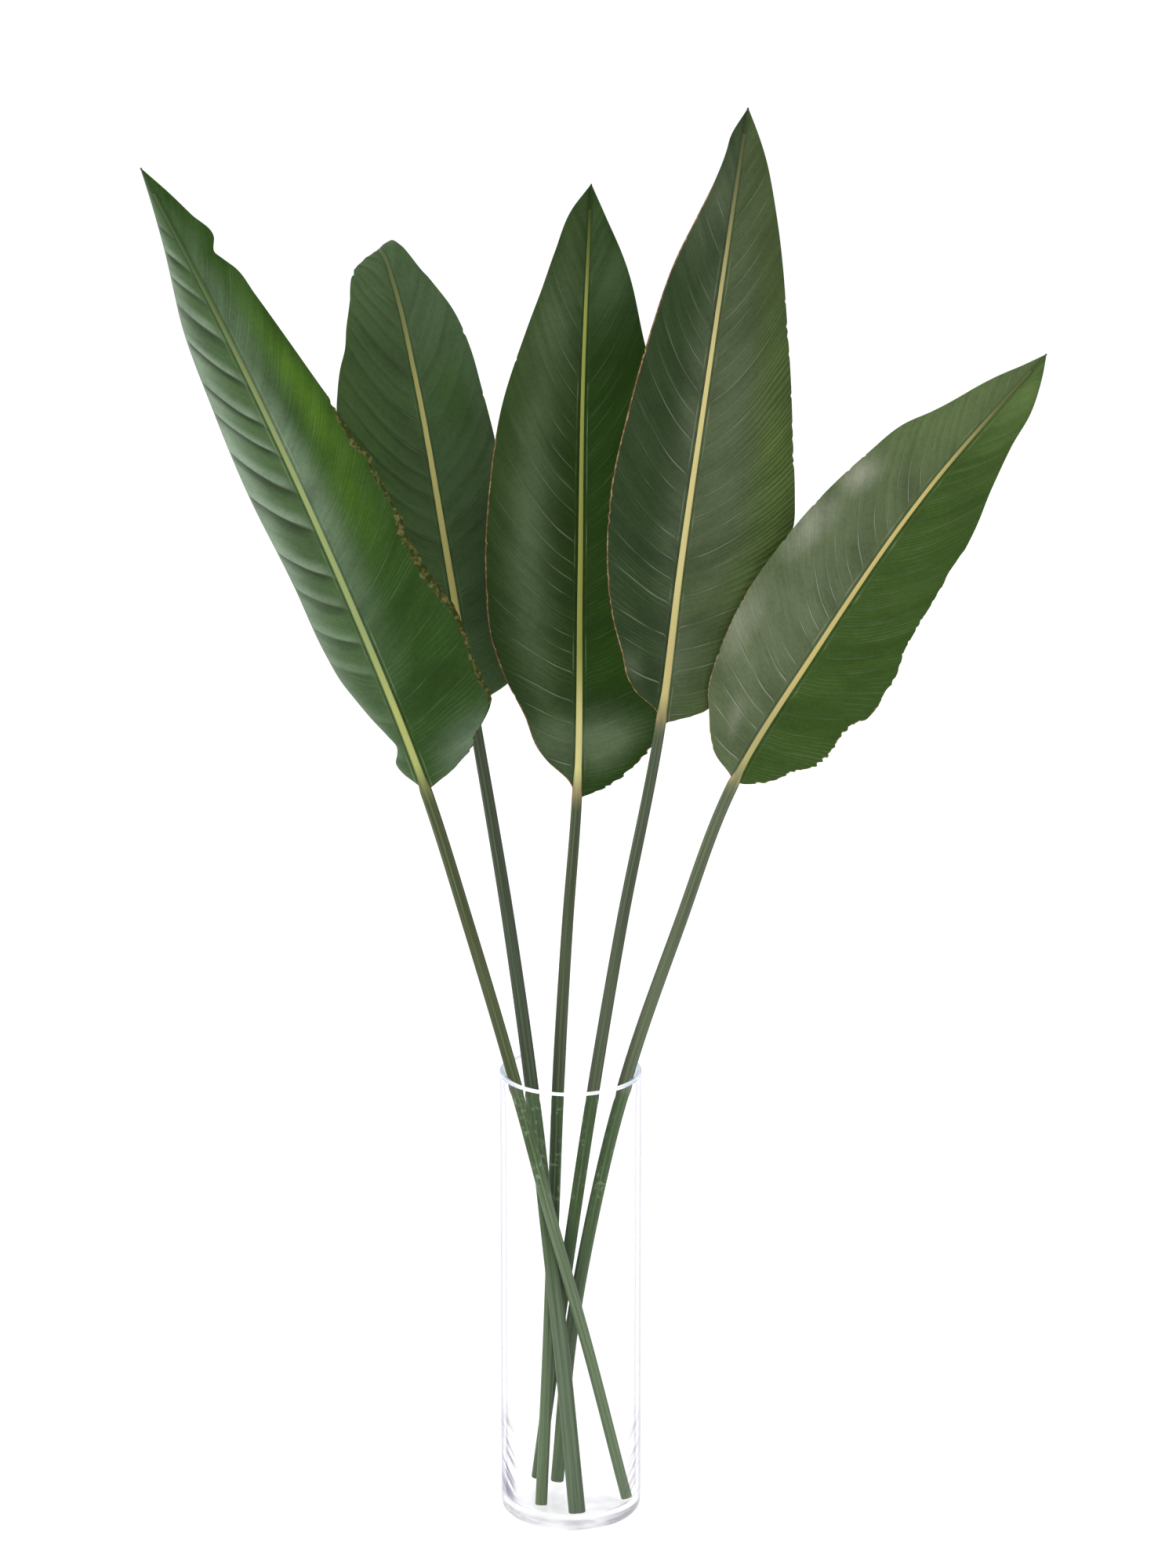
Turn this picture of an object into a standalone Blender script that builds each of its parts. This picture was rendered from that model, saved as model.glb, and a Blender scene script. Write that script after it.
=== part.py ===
"""Five cut bird of paradise leaves standing in a clear glass cylinder vase.

Metres, +Z up. The origin is the centre of the vase's flat base, +X is the viewer's right and -Y is the
side that the leaves face. Driving dimensions are in millimetres and are scaled where they are used.
"""

import math
import random

import bmesh
import bpy
import numpy as np
from mathutils import Vector

MM = 0.001
COLLECTION = "bird_of_paradise_leaves_in_vase"
CLEARANCE = 0.3

# Glass vase
VASE_RADIUS = 45.0
VASE_HEIGHT = 300.0
WALL = 3.0
FLOOR = 10.0
HEEL = 7.0
INNER_HEEL = 4.0
LIP_BULGE = 0.4
VASE_SIDES = 40
ARC_STEPS = 3

# Every leaf: a stalk that runs on as the midrib, and a thin blade on both sides of it
BASE_STATION = 5
BLADE_THICKNESS = 0.8
BLADE_ROWS = 36
BLADE_COLUMNS = 4
ROW_CROWDING = 0.5
BLADE_START = 0.3
LEAST_HALF_WIDTH = 0.5
STALK_SIDES = 10
PETIOLE_RINGS = 14
MIDRIB_RINGS = 16
MIDRIB_END = 96.0
MIDRIB_NARROWING = 0.8
MIDRIB_TIP_RADIUS = 1.2
MIDRIB_FRONT = 0.4
MIDRIB_LEAST_FRONT = 0.8
BASE_TAPER_LENGTH = 30.0
GROOVE_DEPTH = 0.16
GROOVE_SHARPNESS = 8
TANGENT_STEP = 0.5
RIPPLE_FULL_WIDTH = 25.0
RIPPLE_SHIFT = 1.3
BITE_SPAN = (6.0, 72.0)
BITE_REACH = (1.2, 3.4)
BITE_SHARE = (0.4, 1.0)
CREASE_ANGLE = math.radians(50)

# One entry for each leaf.
# centreline: stations from the cut foot to the tip, in mm; the sixth is where the blade starts.
# radii: of the stalk at its foot, at the vase's rim and at the blade.
# left, right: (percent of the blade's length, half-width in mm), as the viewer sees the leaf.
# left_fold, right_fold: slope of the blade in degrees at the midrib and at the margin, + towards the viewer.
# ripple: height in mm and number of the margin's waves.
# bites: count and depth in mm of the notches in the right margin.
LEAVES = {
    "leaf_far_left": dict(
        centreline=[
            (35.5, -11, 10), (11, -12, 114), (-14, -13, 210), (-35, -7, 293), (-64, -11, 400),
            (-90, -18, 491), (-138, -26, 622), (-189, -30, 743), (-228, -34, 828), (-259, -38, 892),
        ],
        radii=(3.5, 3.9, 3.9),
        facing=(0.05, -0.95, 0.28),
        left=[
            (0, 0), (2, 8), (4, 13), (7, 10), (11, 20), (15, 30), (18, 36), (23, 40), (34, 42),
            (51, 46), (63, 42), (77, 32), (81, 26), (88, 15), (94, 7), (100, 0),
        ],
        right=[
            (0, 0), (2, 25), (6, 46), (8, 56), (16, 60), (21, 61), (28, 55), (34, 52), (46, 50),
            (54, 44), (61, 38), (69, 32), (77, 26), (84.6, 16), (86.6, 20), (91, 14), (97, 5), (100, 0),
        ],
        left_fold=(-8, -80),
        right_fold=(12, -14),
        ripple=(1.6, 7.0),
        bites=(16, 3.0),
    ),
    "leaf_back_left": dict(
        centreline=[
            (4, -36, 10), (-6, -17, 116), (-16, -3, 206), (-25, 12, 285), (-39, 28, 387),
            (-62, 46, 527), (-79, 60, 631), (-97, 70, 735), (-109, 77, 790), (-114, 85, 806),
            (-117, 94, 808), (-119, 101, 799), (-120, 105, 780), (-120, 106, 758),
        ],
        radii=(5.4, 4.4, 3.7),
        facing=(-0.05, -0.95, 0.25),
        left=[
            (0, 0), (4, 22), (10, 38), (17, 48), (25, 55), (35, 58), (45, 57), (59, 51), (64, 45),
            (69, 38), (77, 26), (83, 19), (92, 11), (100, 0),
        ],
        right=[
            (0, 0), (3, 25), (6, 30), (10, 35), (18, 40), (28, 43), (48, 42), (56, 40), (63, 38),
            (70, 32), (75, 24), (82, 13), (92, 8), (100, 0),
        ],
        left_fold=(14, -10),
        right_fold=(14, -22),
        ripple=(1.5, 5.0),
        bites=(0, 0.0),
    ),
    "leaf_centre": dict(
        centreline=[
            (-19, -22, 10), (-14, -5, 122), (-11, 8, 204), (-8, 18, 283), (-2, 20, 390),
            (4, 20, 474), (6, 22, 611), (8, 26, 746), (13, 34, 866),
        ],
        radii=(3.8, 4.0, 3.3),
        facing=(0.0, -0.96, 0.2),
        left=[
            (0, 0), (3, 6), (6, 19), (8, 25), (14, 35), (19, 45), (26, 55), (38, 60), (51, 58),
            (64, 51), (77, 36), (83, 28), (89, 21), (96, 11), (100, 0),
        ],
        right=[
            (0, 0), (2, 17), (5, 32), (9, 47), (13, 56), (26, 60), (38, 59), (51, 56), (61, 50),
            (69, 45), (75, 38), (87, 25), (95, 10), (100, 0),
        ],
        left_fold=(20, -12),
        right_fold=(18, -6),
        ripple=(1.5, 6.0),
        bites=(0, 0.0),
    ),
    "leaf_tall_right": dict(
        centreline=[
            (-22, 23, 9), (-8, 5, 124), (3, -8, 210), (15, -21, 298), (32, -30, 407),
            (56, -40, 542), (68, -45, 646), (84, -48, 765), (107, -52, 932),
        ],
        radii=(4.0, 4.0, 3.3),
        facing=(-0.06, -0.97, 0.1),
        left=[
            (0, 0), (2, 4), (4.5, 17), (6.5, 23), (11, 30), (16, 37), (23, 44), (31, 48), (38, 49),
            (50, 45.5), (64, 38.5), (76, 29), (82, 21), (88, 13.5), (93, 9), (95, 8), (100, 0),
        ],
        right=[
            (0, 0), (1.5, 16), (4, 30), (8, 37), (14, 47), (20, 55), (27, 62), (36, 66), (40, 64),
            (50, 57), (63, 47), (76, 35.5), (88, 22), (95, 11), (100, 0),
        ],
        left_fold=(18, -8),
        right_fold=(14, -20),
        ripple=(1.5, 7.0),
        bites=(0, 0.0),
    ),
    "leaf_far_right": dict(
        centreline=[
            (-9, 18, 9), (1, 3, 125), (15, -3, 208), (34, -9, 293), (68, -26, 405),
            (101, -44, 504), (150, -58, 593), (221, -72, 705), (287, -84, 788),
        ],
        radii=(4.3, 4.2, 3.7),
        facing=(0.05, -0.96, 0.24),
        left=[
            (0, 0), (1.5, 5), (3, 15), (6.5, 27), (10, 35), (13, 42), (18, 48), (25, 53), (37, 56),
            (44, 55), (56, 50), (66, 44), (74, 37), (78, 30), (88, 18), (96, 6), (100, 0),
        ],
        right=[
            (0, 0), (1, 6), (4, 20), (9, 34), (12, 40), (17, 45), (20, 45), (25, 50), (31, 51),
            (37, 49), (44, 45), (58, 42), (67, 37.5), (75, 29.5), (83, 22), (90, 17), (96, 8), (100, 0),
        ],
        left_fold=(14, -16),
        right_fold=(20, -2),
        ripple=(1.6, 6.0),
        bites=(14, 2.0),
    ),
}

GREENS = {
    "leaf_far_left": (0.045, 0.115, 0.035),
    "leaf_back_left": (0.030, 0.090, 0.032),
    "leaf_centre": (0.030, 0.085, 0.022),
    "leaf_tall_right": (0.035, 0.085, 0.035),
    "leaf_far_right": (0.040, 0.110, 0.030),
}


def clear_scene():
    """Leaves nothing of the startup scene."""
    for thing in list(bpy.data.objects):
        bpy.data.objects.remove(thing, do_unlink=True)


def new_collection(name):
    collection = bpy.data.collections.new(name)
    bpy.context.scene.collection.children.link(collection)
    return collection


def plain_material(name, colour, roughness, transmission=0.0):
    material = bpy.data.materials.new(name)
    material.use_nodes = True
    shader = material.node_tree.nodes["Principled BSDF"]
    shader.inputs["Base Color"].default_value = (*colour, 1.0)
    shader.inputs["Roughness"].default_value = roughness
    shader.inputs["Metallic"].default_value = 0.0
    shader.inputs["Transmission Weight"].default_value = transmission
    return material


def add_object(name, mesh, collection, material):
    thing = bpy.data.objects.new(name, mesh)
    collection.objects.link(thing)
    thing.data.materials.append(material)
    return thing


def arc(centre, radius, start, end, steps):
    """Points of an arc in the (r, z) half-plane, with angles in degrees."""
    angles = np.radians(np.linspace(start, end, steps + 1))
    return [(centre[0] + radius * math.cos(a), centre[1] + radius * math.sin(a)) for a in angles]


def vase_profile():
    """Half section of the vase, from the middle of its inner floor over the lip to the middle of its base."""
    inner = VASE_RADIUS - WALL
    lip = WALL / 2 + LIP_BULGE
    lip_centre = (VASE_RADIUS - WALL / 2, VASE_HEIGHT - lip)
    profile = [(0.0, FLOOR)]
    profile += arc((inner - INNER_HEEL, FLOOR + INNER_HEEL), INNER_HEEL, -90, 0, ARC_STEPS)
    profile += [(inner, lip_centre[1] - 2 * lip)]
    profile += arc(lip_centre, lip, 180, 0, 2 * ARC_STEPS)
    profile += [(VASE_RADIUS, lip_centre[1] - 2 * lip)]
    profile += arc((VASE_RADIUS - HEEL, HEEL), HEEL, 0, -90, ARC_STEPS)
    profile += [(0.0, 0.0)]
    return profile


def build_vase(collection):
    """The glass: a half section turned about Z, with a thick floor, a round heel and a fire-polished lip."""
    mesh = bpy.data.meshes.new("glass_vase")
    points = [(r * MM, 0.0, z * MM) for r, z in vase_profile()]
    mesh.from_pydata(points, [(i, i + 1) for i in range(len(points) - 1)], [])
    glass = plain_material("clear_glass", (0.93, 0.95, 0.96), 0.03, transmission=1.0)
    vase = add_object("glass_vase", mesh, collection, glass)
    turn = vase.modifiers.new("turn", "SCREW")
    turn.axis = "Z"
    turn.steps = VASE_SIDES
    turn.render_steps = VASE_SIDES
    turn.use_merge_vertices = True
    turn.merge_threshold = 0.00001
    turn.use_smooth_shade = True
    return vase


def through(knots, values, at):
    """Smooth curve through values at knots, read at the given places."""
    knots = np.asarray(knots, float)
    values = np.asarray(values, float)
    slopes = np.gradient(values, knots, axis=0)
    piece = np.clip(np.searchsorted(knots, at, side="right") - 1, 0, len(knots) - 2)
    span = knots[piece + 1] - knots[piece]
    u = (at - knots[piece]) / span
    if values.ndim == 2:
        u = u[:, None]
        span = span[:, None]
    start = (1 + 2 * u) * (1 - u) ** 2 * values[piece] + u * (1 - u) ** 2 * span * slopes[piece]
    end = u**2 * (3 - 2 * u) * values[piece + 1] - u**2 * (1 - u) * span * slopes[piece + 1]
    return start + end


def unit(vectors):
    return vectors / np.linalg.norm(vectors, axis=-1, keepdims=True)


def station_distances(centreline):
    """Distance from the foot to each station, in mm."""
    steps = np.linalg.norm(np.diff(np.asarray(centreline, float), axis=0), axis=1)
    return np.concatenate([[0.0], np.cumsum(steps)])


def frames(leaf, distances, base_row):
    """Place, viewer's right and front of the leaf at each distance, carried both ways from the blade's base."""
    knots = station_distances(leaf["centreline"])
    places = through(knots, leaf["centreline"], distances)
    ahead = through(knots, leaf["centreline"], np.minimum(distances + TANGENT_STEP, knots[-1]))
    behind = through(knots, leaf["centreline"], np.maximum(distances - TANGENT_STEP, 0.0))
    along = unit(ahead - behind)
    front = np.zeros_like(along)
    orders = (range(base_row, len(along)), range(base_row, -1, -1))
    for rows in orders:
        carried = np.array(leaf["facing"])
        for row in rows:
            carried = unit(carried - carried.dot(along[row]) * along[row])
            front[row] = carried
    return places, np.cross(along, front), front


def seat_foot(leaf):
    """Sets the foot's height, so that the edge of the cut end stands just clear of the vase's floor."""
    foot = np.array(leaf["centreline"][0], float)
    lean = unit(np.array(leaf["centreline"][1], float) - foot)
    foot[2] = FLOOR + CLEARANCE + leaf["radii"][0] * math.sqrt(1.0 - lean[2] ** 2)
    leaf["centreline"][0] = tuple(foot)


def bite_notches(leaf, percent, chance):
    """Depth in mm of the notches in a nibbled margin at each percent of the blade."""
    count, depth = leaf["bites"]
    notch = np.zeros_like(percent)
    for _ in range(count):
        centre = chance.uniform(*BITE_SPAN)
        reach = chance.uniform(*BITE_REACH)
        deep = depth * chance.uniform(*BITE_SHARE)
        notch = np.maximum(notch, deep * np.clip(1.0 - ((percent - centre) / reach) ** 2, 0.0, 1.0))
    return notch


def half_section(fold, width, v):
    """Distance from the midrib and height of a half blade that bends evenly from one slope to the other."""
    start, end = np.radians(fold)
    bend = end - start
    across = width * (np.sin(start + bend * v) - math.sin(start)) / bend
    height = width * (math.cos(start) - np.cos(start + bend * v)) / bend
    return across, height


def blade_mesh(name, leaf, seed):
    """The blade's middle surface: a grid whose columns run along the leaf and whose rows cross the midrib."""
    knots = station_distances(leaf["centreline"])
    base, tip = knots[BASE_STATION], knots[-1]
    u = np.linspace(0.0, 1.0, BLADE_ROWS + 1)
    percent = BLADE_START + (100.0 - BLADE_START) * (u - ROW_CROWDING * np.sin(2 * np.pi * u) / (2 * np.pi))
    places, right, front = frames(leaf, base + (tip - base) * percent / 100.0, 0)
    height, waves = leaf["ripple"]
    columns = 2 * BLADE_COLUMNS + 1
    points = np.zeros((BLADE_ROWS + 1, columns, 3))
    for column in range(columns):
        side = 1 if column > BLADE_COLUMNS else -1
        v = abs(column - BLADE_COLUMNS) / BLADE_COLUMNS
        outline = np.array(leaf["right" if side > 0 else "left"])
        width = through(outline[:, 0], outline[:, 1], percent)
        if side > 0:
            width = width - bite_notches(leaf, percent, random.Random(seed))
        width = np.maximum(width, LEAST_HALF_WIDTH)
        across, lift = half_section(leaf["right_fold" if side > 0 else "left_fold"], width, v)
        swell = height * v**2 * np.minimum(width / RIPPLE_FULL_WIDTH, 1.0)
        lift = lift + swell * np.sin(2 * np.pi * waves * u + RIPPLE_SHIFT * side + seed)
        points[:, column] = places + side * across[:, None] * right + lift[:, None] * front
    sheet = bmesh.new()
    bmesh.ops.create_grid(sheet, x_segments=BLADE_ROWS, y_segments=columns - 1, size=0.5)
    for vertex in sheet.verts:
        row = round((vertex.co.x + 0.5) * BLADE_ROWS)
        column = round((0.5 - vertex.co.y) * (columns - 1))
        vertex.co = Vector(points[row, column] * MM)
    bmesh.ops.triangulate(sheet, faces=sheet.faces, quad_method="SHORT_EDGE")
    mesh = bpy.data.meshes.new(name)
    sheet.to_mesh(mesh)
    sheet.free()
    return mesh


def stalk_section(radius, midrib):
    """Ring of (right, front) points: a stalk with a groove down its front, or a midrib with a keel behind."""
    ring = []
    for side in range(STALK_SIDES):
        angle = 2 * math.pi * (side + 0.5) / STALK_SIDES
        across, forward = radius * math.cos(angle), radius * math.sin(angle)
        if midrib and forward > 0:
            forward *= max(MIDRIB_FRONT, MIDRIB_LEAST_FRONT / radius)
        elif not midrib:
            forward -= GROOVE_DEPTH * radius * max(0.0, math.sin(angle)) ** GROOVE_SHARPNESS
        ring.append((across, forward))
    return ring


def stalk_mesh(name, leaf):
    """Stalk and midrib in one: rings lofted along the centreline, narrowing to the tip."""
    knots = station_distances(leaf["centreline"])
    base, tip = knots[BASE_STATION], knots[-1]
    heights = [station[2] for station in leaf["centreline"]]
    rim = np.interp(VASE_HEIGHT, heights[: BASE_STATION + 1], knots[: BASE_STATION + 1])
    end = base + (tip - base) * MIDRIB_END / 100.0
    distances = np.concatenate(
        [np.linspace(0.0, base, PETIOLE_RINGS + 1)[:-1], np.linspace(base, end, MIDRIB_RINGS + 1)]
    )
    foot_radius, rim_radius, base_radius = leaf["radii"]
    radii = np.interp(
        distances,
        [0.0, rim, base, base + BASE_TAPER_LENGTH, end],
        [foot_radius, rim_radius, base_radius, MIDRIB_NARROWING * base_radius, MIDRIB_TIP_RADIUS],
    )
    places, right, front = frames(leaf, distances, PETIOLE_RINGS)
    tube = bmesh.new()
    rings = []
    for row, radius in enumerate(radii):
        section = stalk_section(radius, row > PETIOLE_RINGS)
        spots = [places[row] + across * right[row] + forward * front[row] for across, forward in section]
        rings.append([tube.verts.new(Vector(spot * MM)) for spot in spots])
    for lower, upper in zip(rings, rings[1:]):
        for side in range(STALK_SIDES):
            after = (side + 1) % STALK_SIDES
            tube.faces.new((lower[side], lower[after], upper[after], upper[side]))
    tube.faces.new(rings[0])
    tube.faces.new(rings[-1])
    bmesh.ops.recalc_face_normals(tube, faces=tube.faces)
    mesh = bpy.data.meshes.new(name)
    tube.to_mesh(mesh)
    tube.free()
    return mesh


def apply_modifiers(thing):
    """Replaces the mesh by what its modifiers make of it."""
    graph = bpy.context.evaluated_depsgraph_get()
    finished = bpy.data.meshes.new_from_object(thing.evaluated_get(graph))
    thing.modifiers.clear()
    thing.data = finished


def build_leaf(name, collection, seed):
    """One leaf, grown as one piece: the thickened blade joined to its stalk."""
    leaf = LEAVES[name]
    seat_foot(leaf)
    green = plain_material(f"{name}_green", GREENS[name], 0.42)
    blade = add_object(name, blade_mesh(name, leaf, seed), collection, green)
    stalk = add_object(f"{name}_stalk", stalk_mesh(f"{name}_stalk", leaf), collection, green)
    thicken = blade.modifiers.new("thicken", "SOLIDIFY")
    thicken.thickness = BLADE_THICKNESS * MM
    thicken.offset = 0.0
    join = blade.modifiers.new("join", "BOOLEAN")
    join.operation = "UNION"
    join.solver = "EXACT"
    join.object = stalk
    apply_modifiers(blade)
    bpy.data.objects.remove(stalk, do_unlink=True)
    blade.data.shade_smooth()
    blade.data.set_sharp_from_angle(angle=CREASE_ANGLE)
    return blade


def main():
    clear_scene()
    collection = new_collection(COLLECTION)
    build_vase(collection)
    for order, name in enumerate(LEAVES):
        build_leaf(name, collection, seed=order + 1)


main()
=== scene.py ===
"""Five cut bird of paradise leaves in a clear glass cylinder vase, lit for a studio picture.

Metres, +Z up, -Y towards the viewer. Names that end in MM, and the leaf data, are in millimetres.
"""

import math
import random

import bpy
import numpy as np
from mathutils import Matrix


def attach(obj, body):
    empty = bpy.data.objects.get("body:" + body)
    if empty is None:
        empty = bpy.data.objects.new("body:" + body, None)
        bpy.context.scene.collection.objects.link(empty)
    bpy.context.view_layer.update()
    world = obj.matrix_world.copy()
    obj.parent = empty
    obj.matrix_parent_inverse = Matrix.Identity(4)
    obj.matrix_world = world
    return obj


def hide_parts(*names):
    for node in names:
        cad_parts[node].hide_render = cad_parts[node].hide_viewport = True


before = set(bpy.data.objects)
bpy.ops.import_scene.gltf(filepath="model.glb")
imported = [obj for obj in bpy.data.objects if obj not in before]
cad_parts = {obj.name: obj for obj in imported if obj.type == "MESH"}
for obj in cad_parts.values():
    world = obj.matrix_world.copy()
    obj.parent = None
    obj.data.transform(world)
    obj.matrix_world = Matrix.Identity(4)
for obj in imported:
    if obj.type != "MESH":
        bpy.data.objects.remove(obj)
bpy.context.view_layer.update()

MM = 0.001

# Camera: 4.2 m in front of the vase, looking down on it
CAMERA_PLACE = (0.011, -4.18109657, 1.81386041)
CAMERA_PITCH = 17.57
CAMERA_SENSOR_MM = 36.0
CAMERA_LENS_MM = 160.83

# Studio
AIR_LIGHT = 1.08
FLOOR_SIZE = 60.0
PAPER_DARK = (0.92, 0.92, 0.92, 1.0)
PAPER_LIGHT = (0.95, 0.95, 0.95, 1.0)
STUDIO_GAIN = 1.2
STUDIO_HAZE = 0.009
LEAST_CHANNEL = 0.002
# Each softbox: its place, the point it faces, its width and height, and its watts
SOFTBOXES = {
    "left_softbox": ((-1.9, -1.3, 1.2), (-0.05, 0.0, 0.6), 0.9, 1.8, 18.0),
    "right_softbox": ((1.7, -2.6, 1.3), (0.05, 0.0, 0.6), 0.7, 1.6, 10.0),
    "top_softbox": ((0.0, -0.7, 2.5), (0.0, 0.0, 0.5), 1.6, 1.2, 12.0),
    "back_softbox": ((0.6, 2.2, 1.9), (0.0, 0.0, 0.5), 1.6, 1.6, 10.0),
}

# Glass vase
VASE_RADIUS_MM = 45.0
VASE_HEIGHT_MM = 300.0
WALL_MM = 3.0
FLOOR_MM = 10.0
HEEL_MM = 7.0
INNER_HEEL_MM = 4.0
LIP_BULGE_MM = 0.4
LIP_ROUND_MM = 1.45
LIP_SWELL_MM = (291.0, 297.0)
PUNT_REACH_MM = 14.0
PUNT_RISE_MM = 1.6
STANDING_GAP_MM = 0.1
GLASS_SIDES = 256
BEVEL_STEPS = 8
GLASS_RINGS_MM = (16.0, 26.0, 50.0, 100.0, 160.0, 220.0, 270.0, 291.0, 293.0, 295.0, 296.5, 298.0)
RING_TOLERANCE_MM = 0.2
LEVEL_FACE = 0.9

# Tints of the glass: its own tint deepened into a painted dark edge, painted refraction streaks, and
# painted light and shade in the heel. Each runs from where it starts to where it is full: a turn away
# from the viewer, a height for a top, foot or heel, a place on Y for a front, and on X for a side or
# wedge
GLASS_IOR = 1.15
EDGE_TURN = (0.64, 0.86)
STREAK_TURN = (0.36, 0.52)
STREAK_TOP_MM = (84.0, 50.0)
STREAK_FOOT_MM = (10.0, 18.0)
STREAK_FRONT_MM = (8.0, -4.0)
STREAK_SIDE_MM = (-10.0, 10.0)
WEDGE_RIGHT_MM = (12.0, 36.0)
WEDGE_LEFT_MM = (22.0, 40.0)
HEEL_TOP_MM = (11.0, 9.0)
HEEL_FRONT_MM = (0.0, -14.0)
LIP_SIDES_MM = (28.0, 44.0)

# Every leaf
CLEARANCE_MM = 0.3
BASE_STATION = 5
BLADE_THICKNESS_MM = 0.5
LEAF_SHINE = 0.07
STALK_SHINE = 0.14
CREASE_ANGLE = math.radians(50)

# Blade
HALVES = {-1: "left", 1: "right"}
BLADE_ROWS = 340
HALF_COLUMNS = 44
ROW_CROWDING = 0.5
BLADE_START = 0.3
LEAST_HALF_WIDTH = 0.5
RIPPLE_FULL_WIDTH = 25.0
RIPPLE_SHIFT = 1.3
BITE_SPAN = (6.0, 60.0)
BITE_REACH = (1.2, 3.4)
BITE_SHARE = (0.4, 1.0)
NIBBLE_REACH = (0.15, 0.7)
DRY_RAMP = 3.0
PATCH_FALL = 1.2

# Side veins: slant at the blade's base and its growth, bow, turn into the midrib, and waves as
# (height, reach)
VEIN_SLANT = (0.25, 0.7, 1.9)
VEIN_BOW = 0.72
VEIN_BOW_REACH_MM = 40.0
VEIN_TURN_MM = 2.5
VEIN_TURN_START_MM = 3.0
VEIN_TURN_REACH_MM = 1.3
VEIN_WAVES_MM = ((3.4, 19.0), (1.6, 7.7))
VEIN_SHIVER_MM = (0.5, 6.0)
RIGHT_VEINS_SHIFT = 0.35

# Creases between the side veins, which grow with the percent
CREASES_START = 8.0
CREASES_GROW = 40.0
CREASE_LEAST = 0.15
CREASE_SHARPNESS = 2.2
CREASE_MIDDLE = 0.6
FLAT_BY_MIDRIB = 0.15
FLAT_BY_MARGIN_MM = 6.0

# Stalk and midrib
STALK_SIDES = 40
PETIOLE_RINGS = 64
MIDRIB_RINGS = 128
RINGS_TO_A_BAND = 16
MIDRIB_END = 96.0
MIDRIB_TIP_RADIUS = 1.3
MIDRIB_FRONT = 0.4
MIDRIB_LEAST_FRONT = 0.8
MIDRIB_START_MM = 4.0
MIDRIB_GROW_MM = 24.0
BASE_TAPER_LENGTH = 10.0
GROOVE_DEPTH = 0.16
GROOVE_SHARPNESS = 8
TANGENT_STEP = 0.5

# Heights on the vase's front wall, where the line of sight to a place on a stalk meets it
SIGHT_SLOPE = 0.32
SIGHT_SHIFT_MM = 12.0
RIM_SEEN_MM = (299.0, 295.0)
SPECKS_FOOT_MM = (200.0, 235.0)
SPECKS_TOP_MM = (298.0, 290.0)

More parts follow.
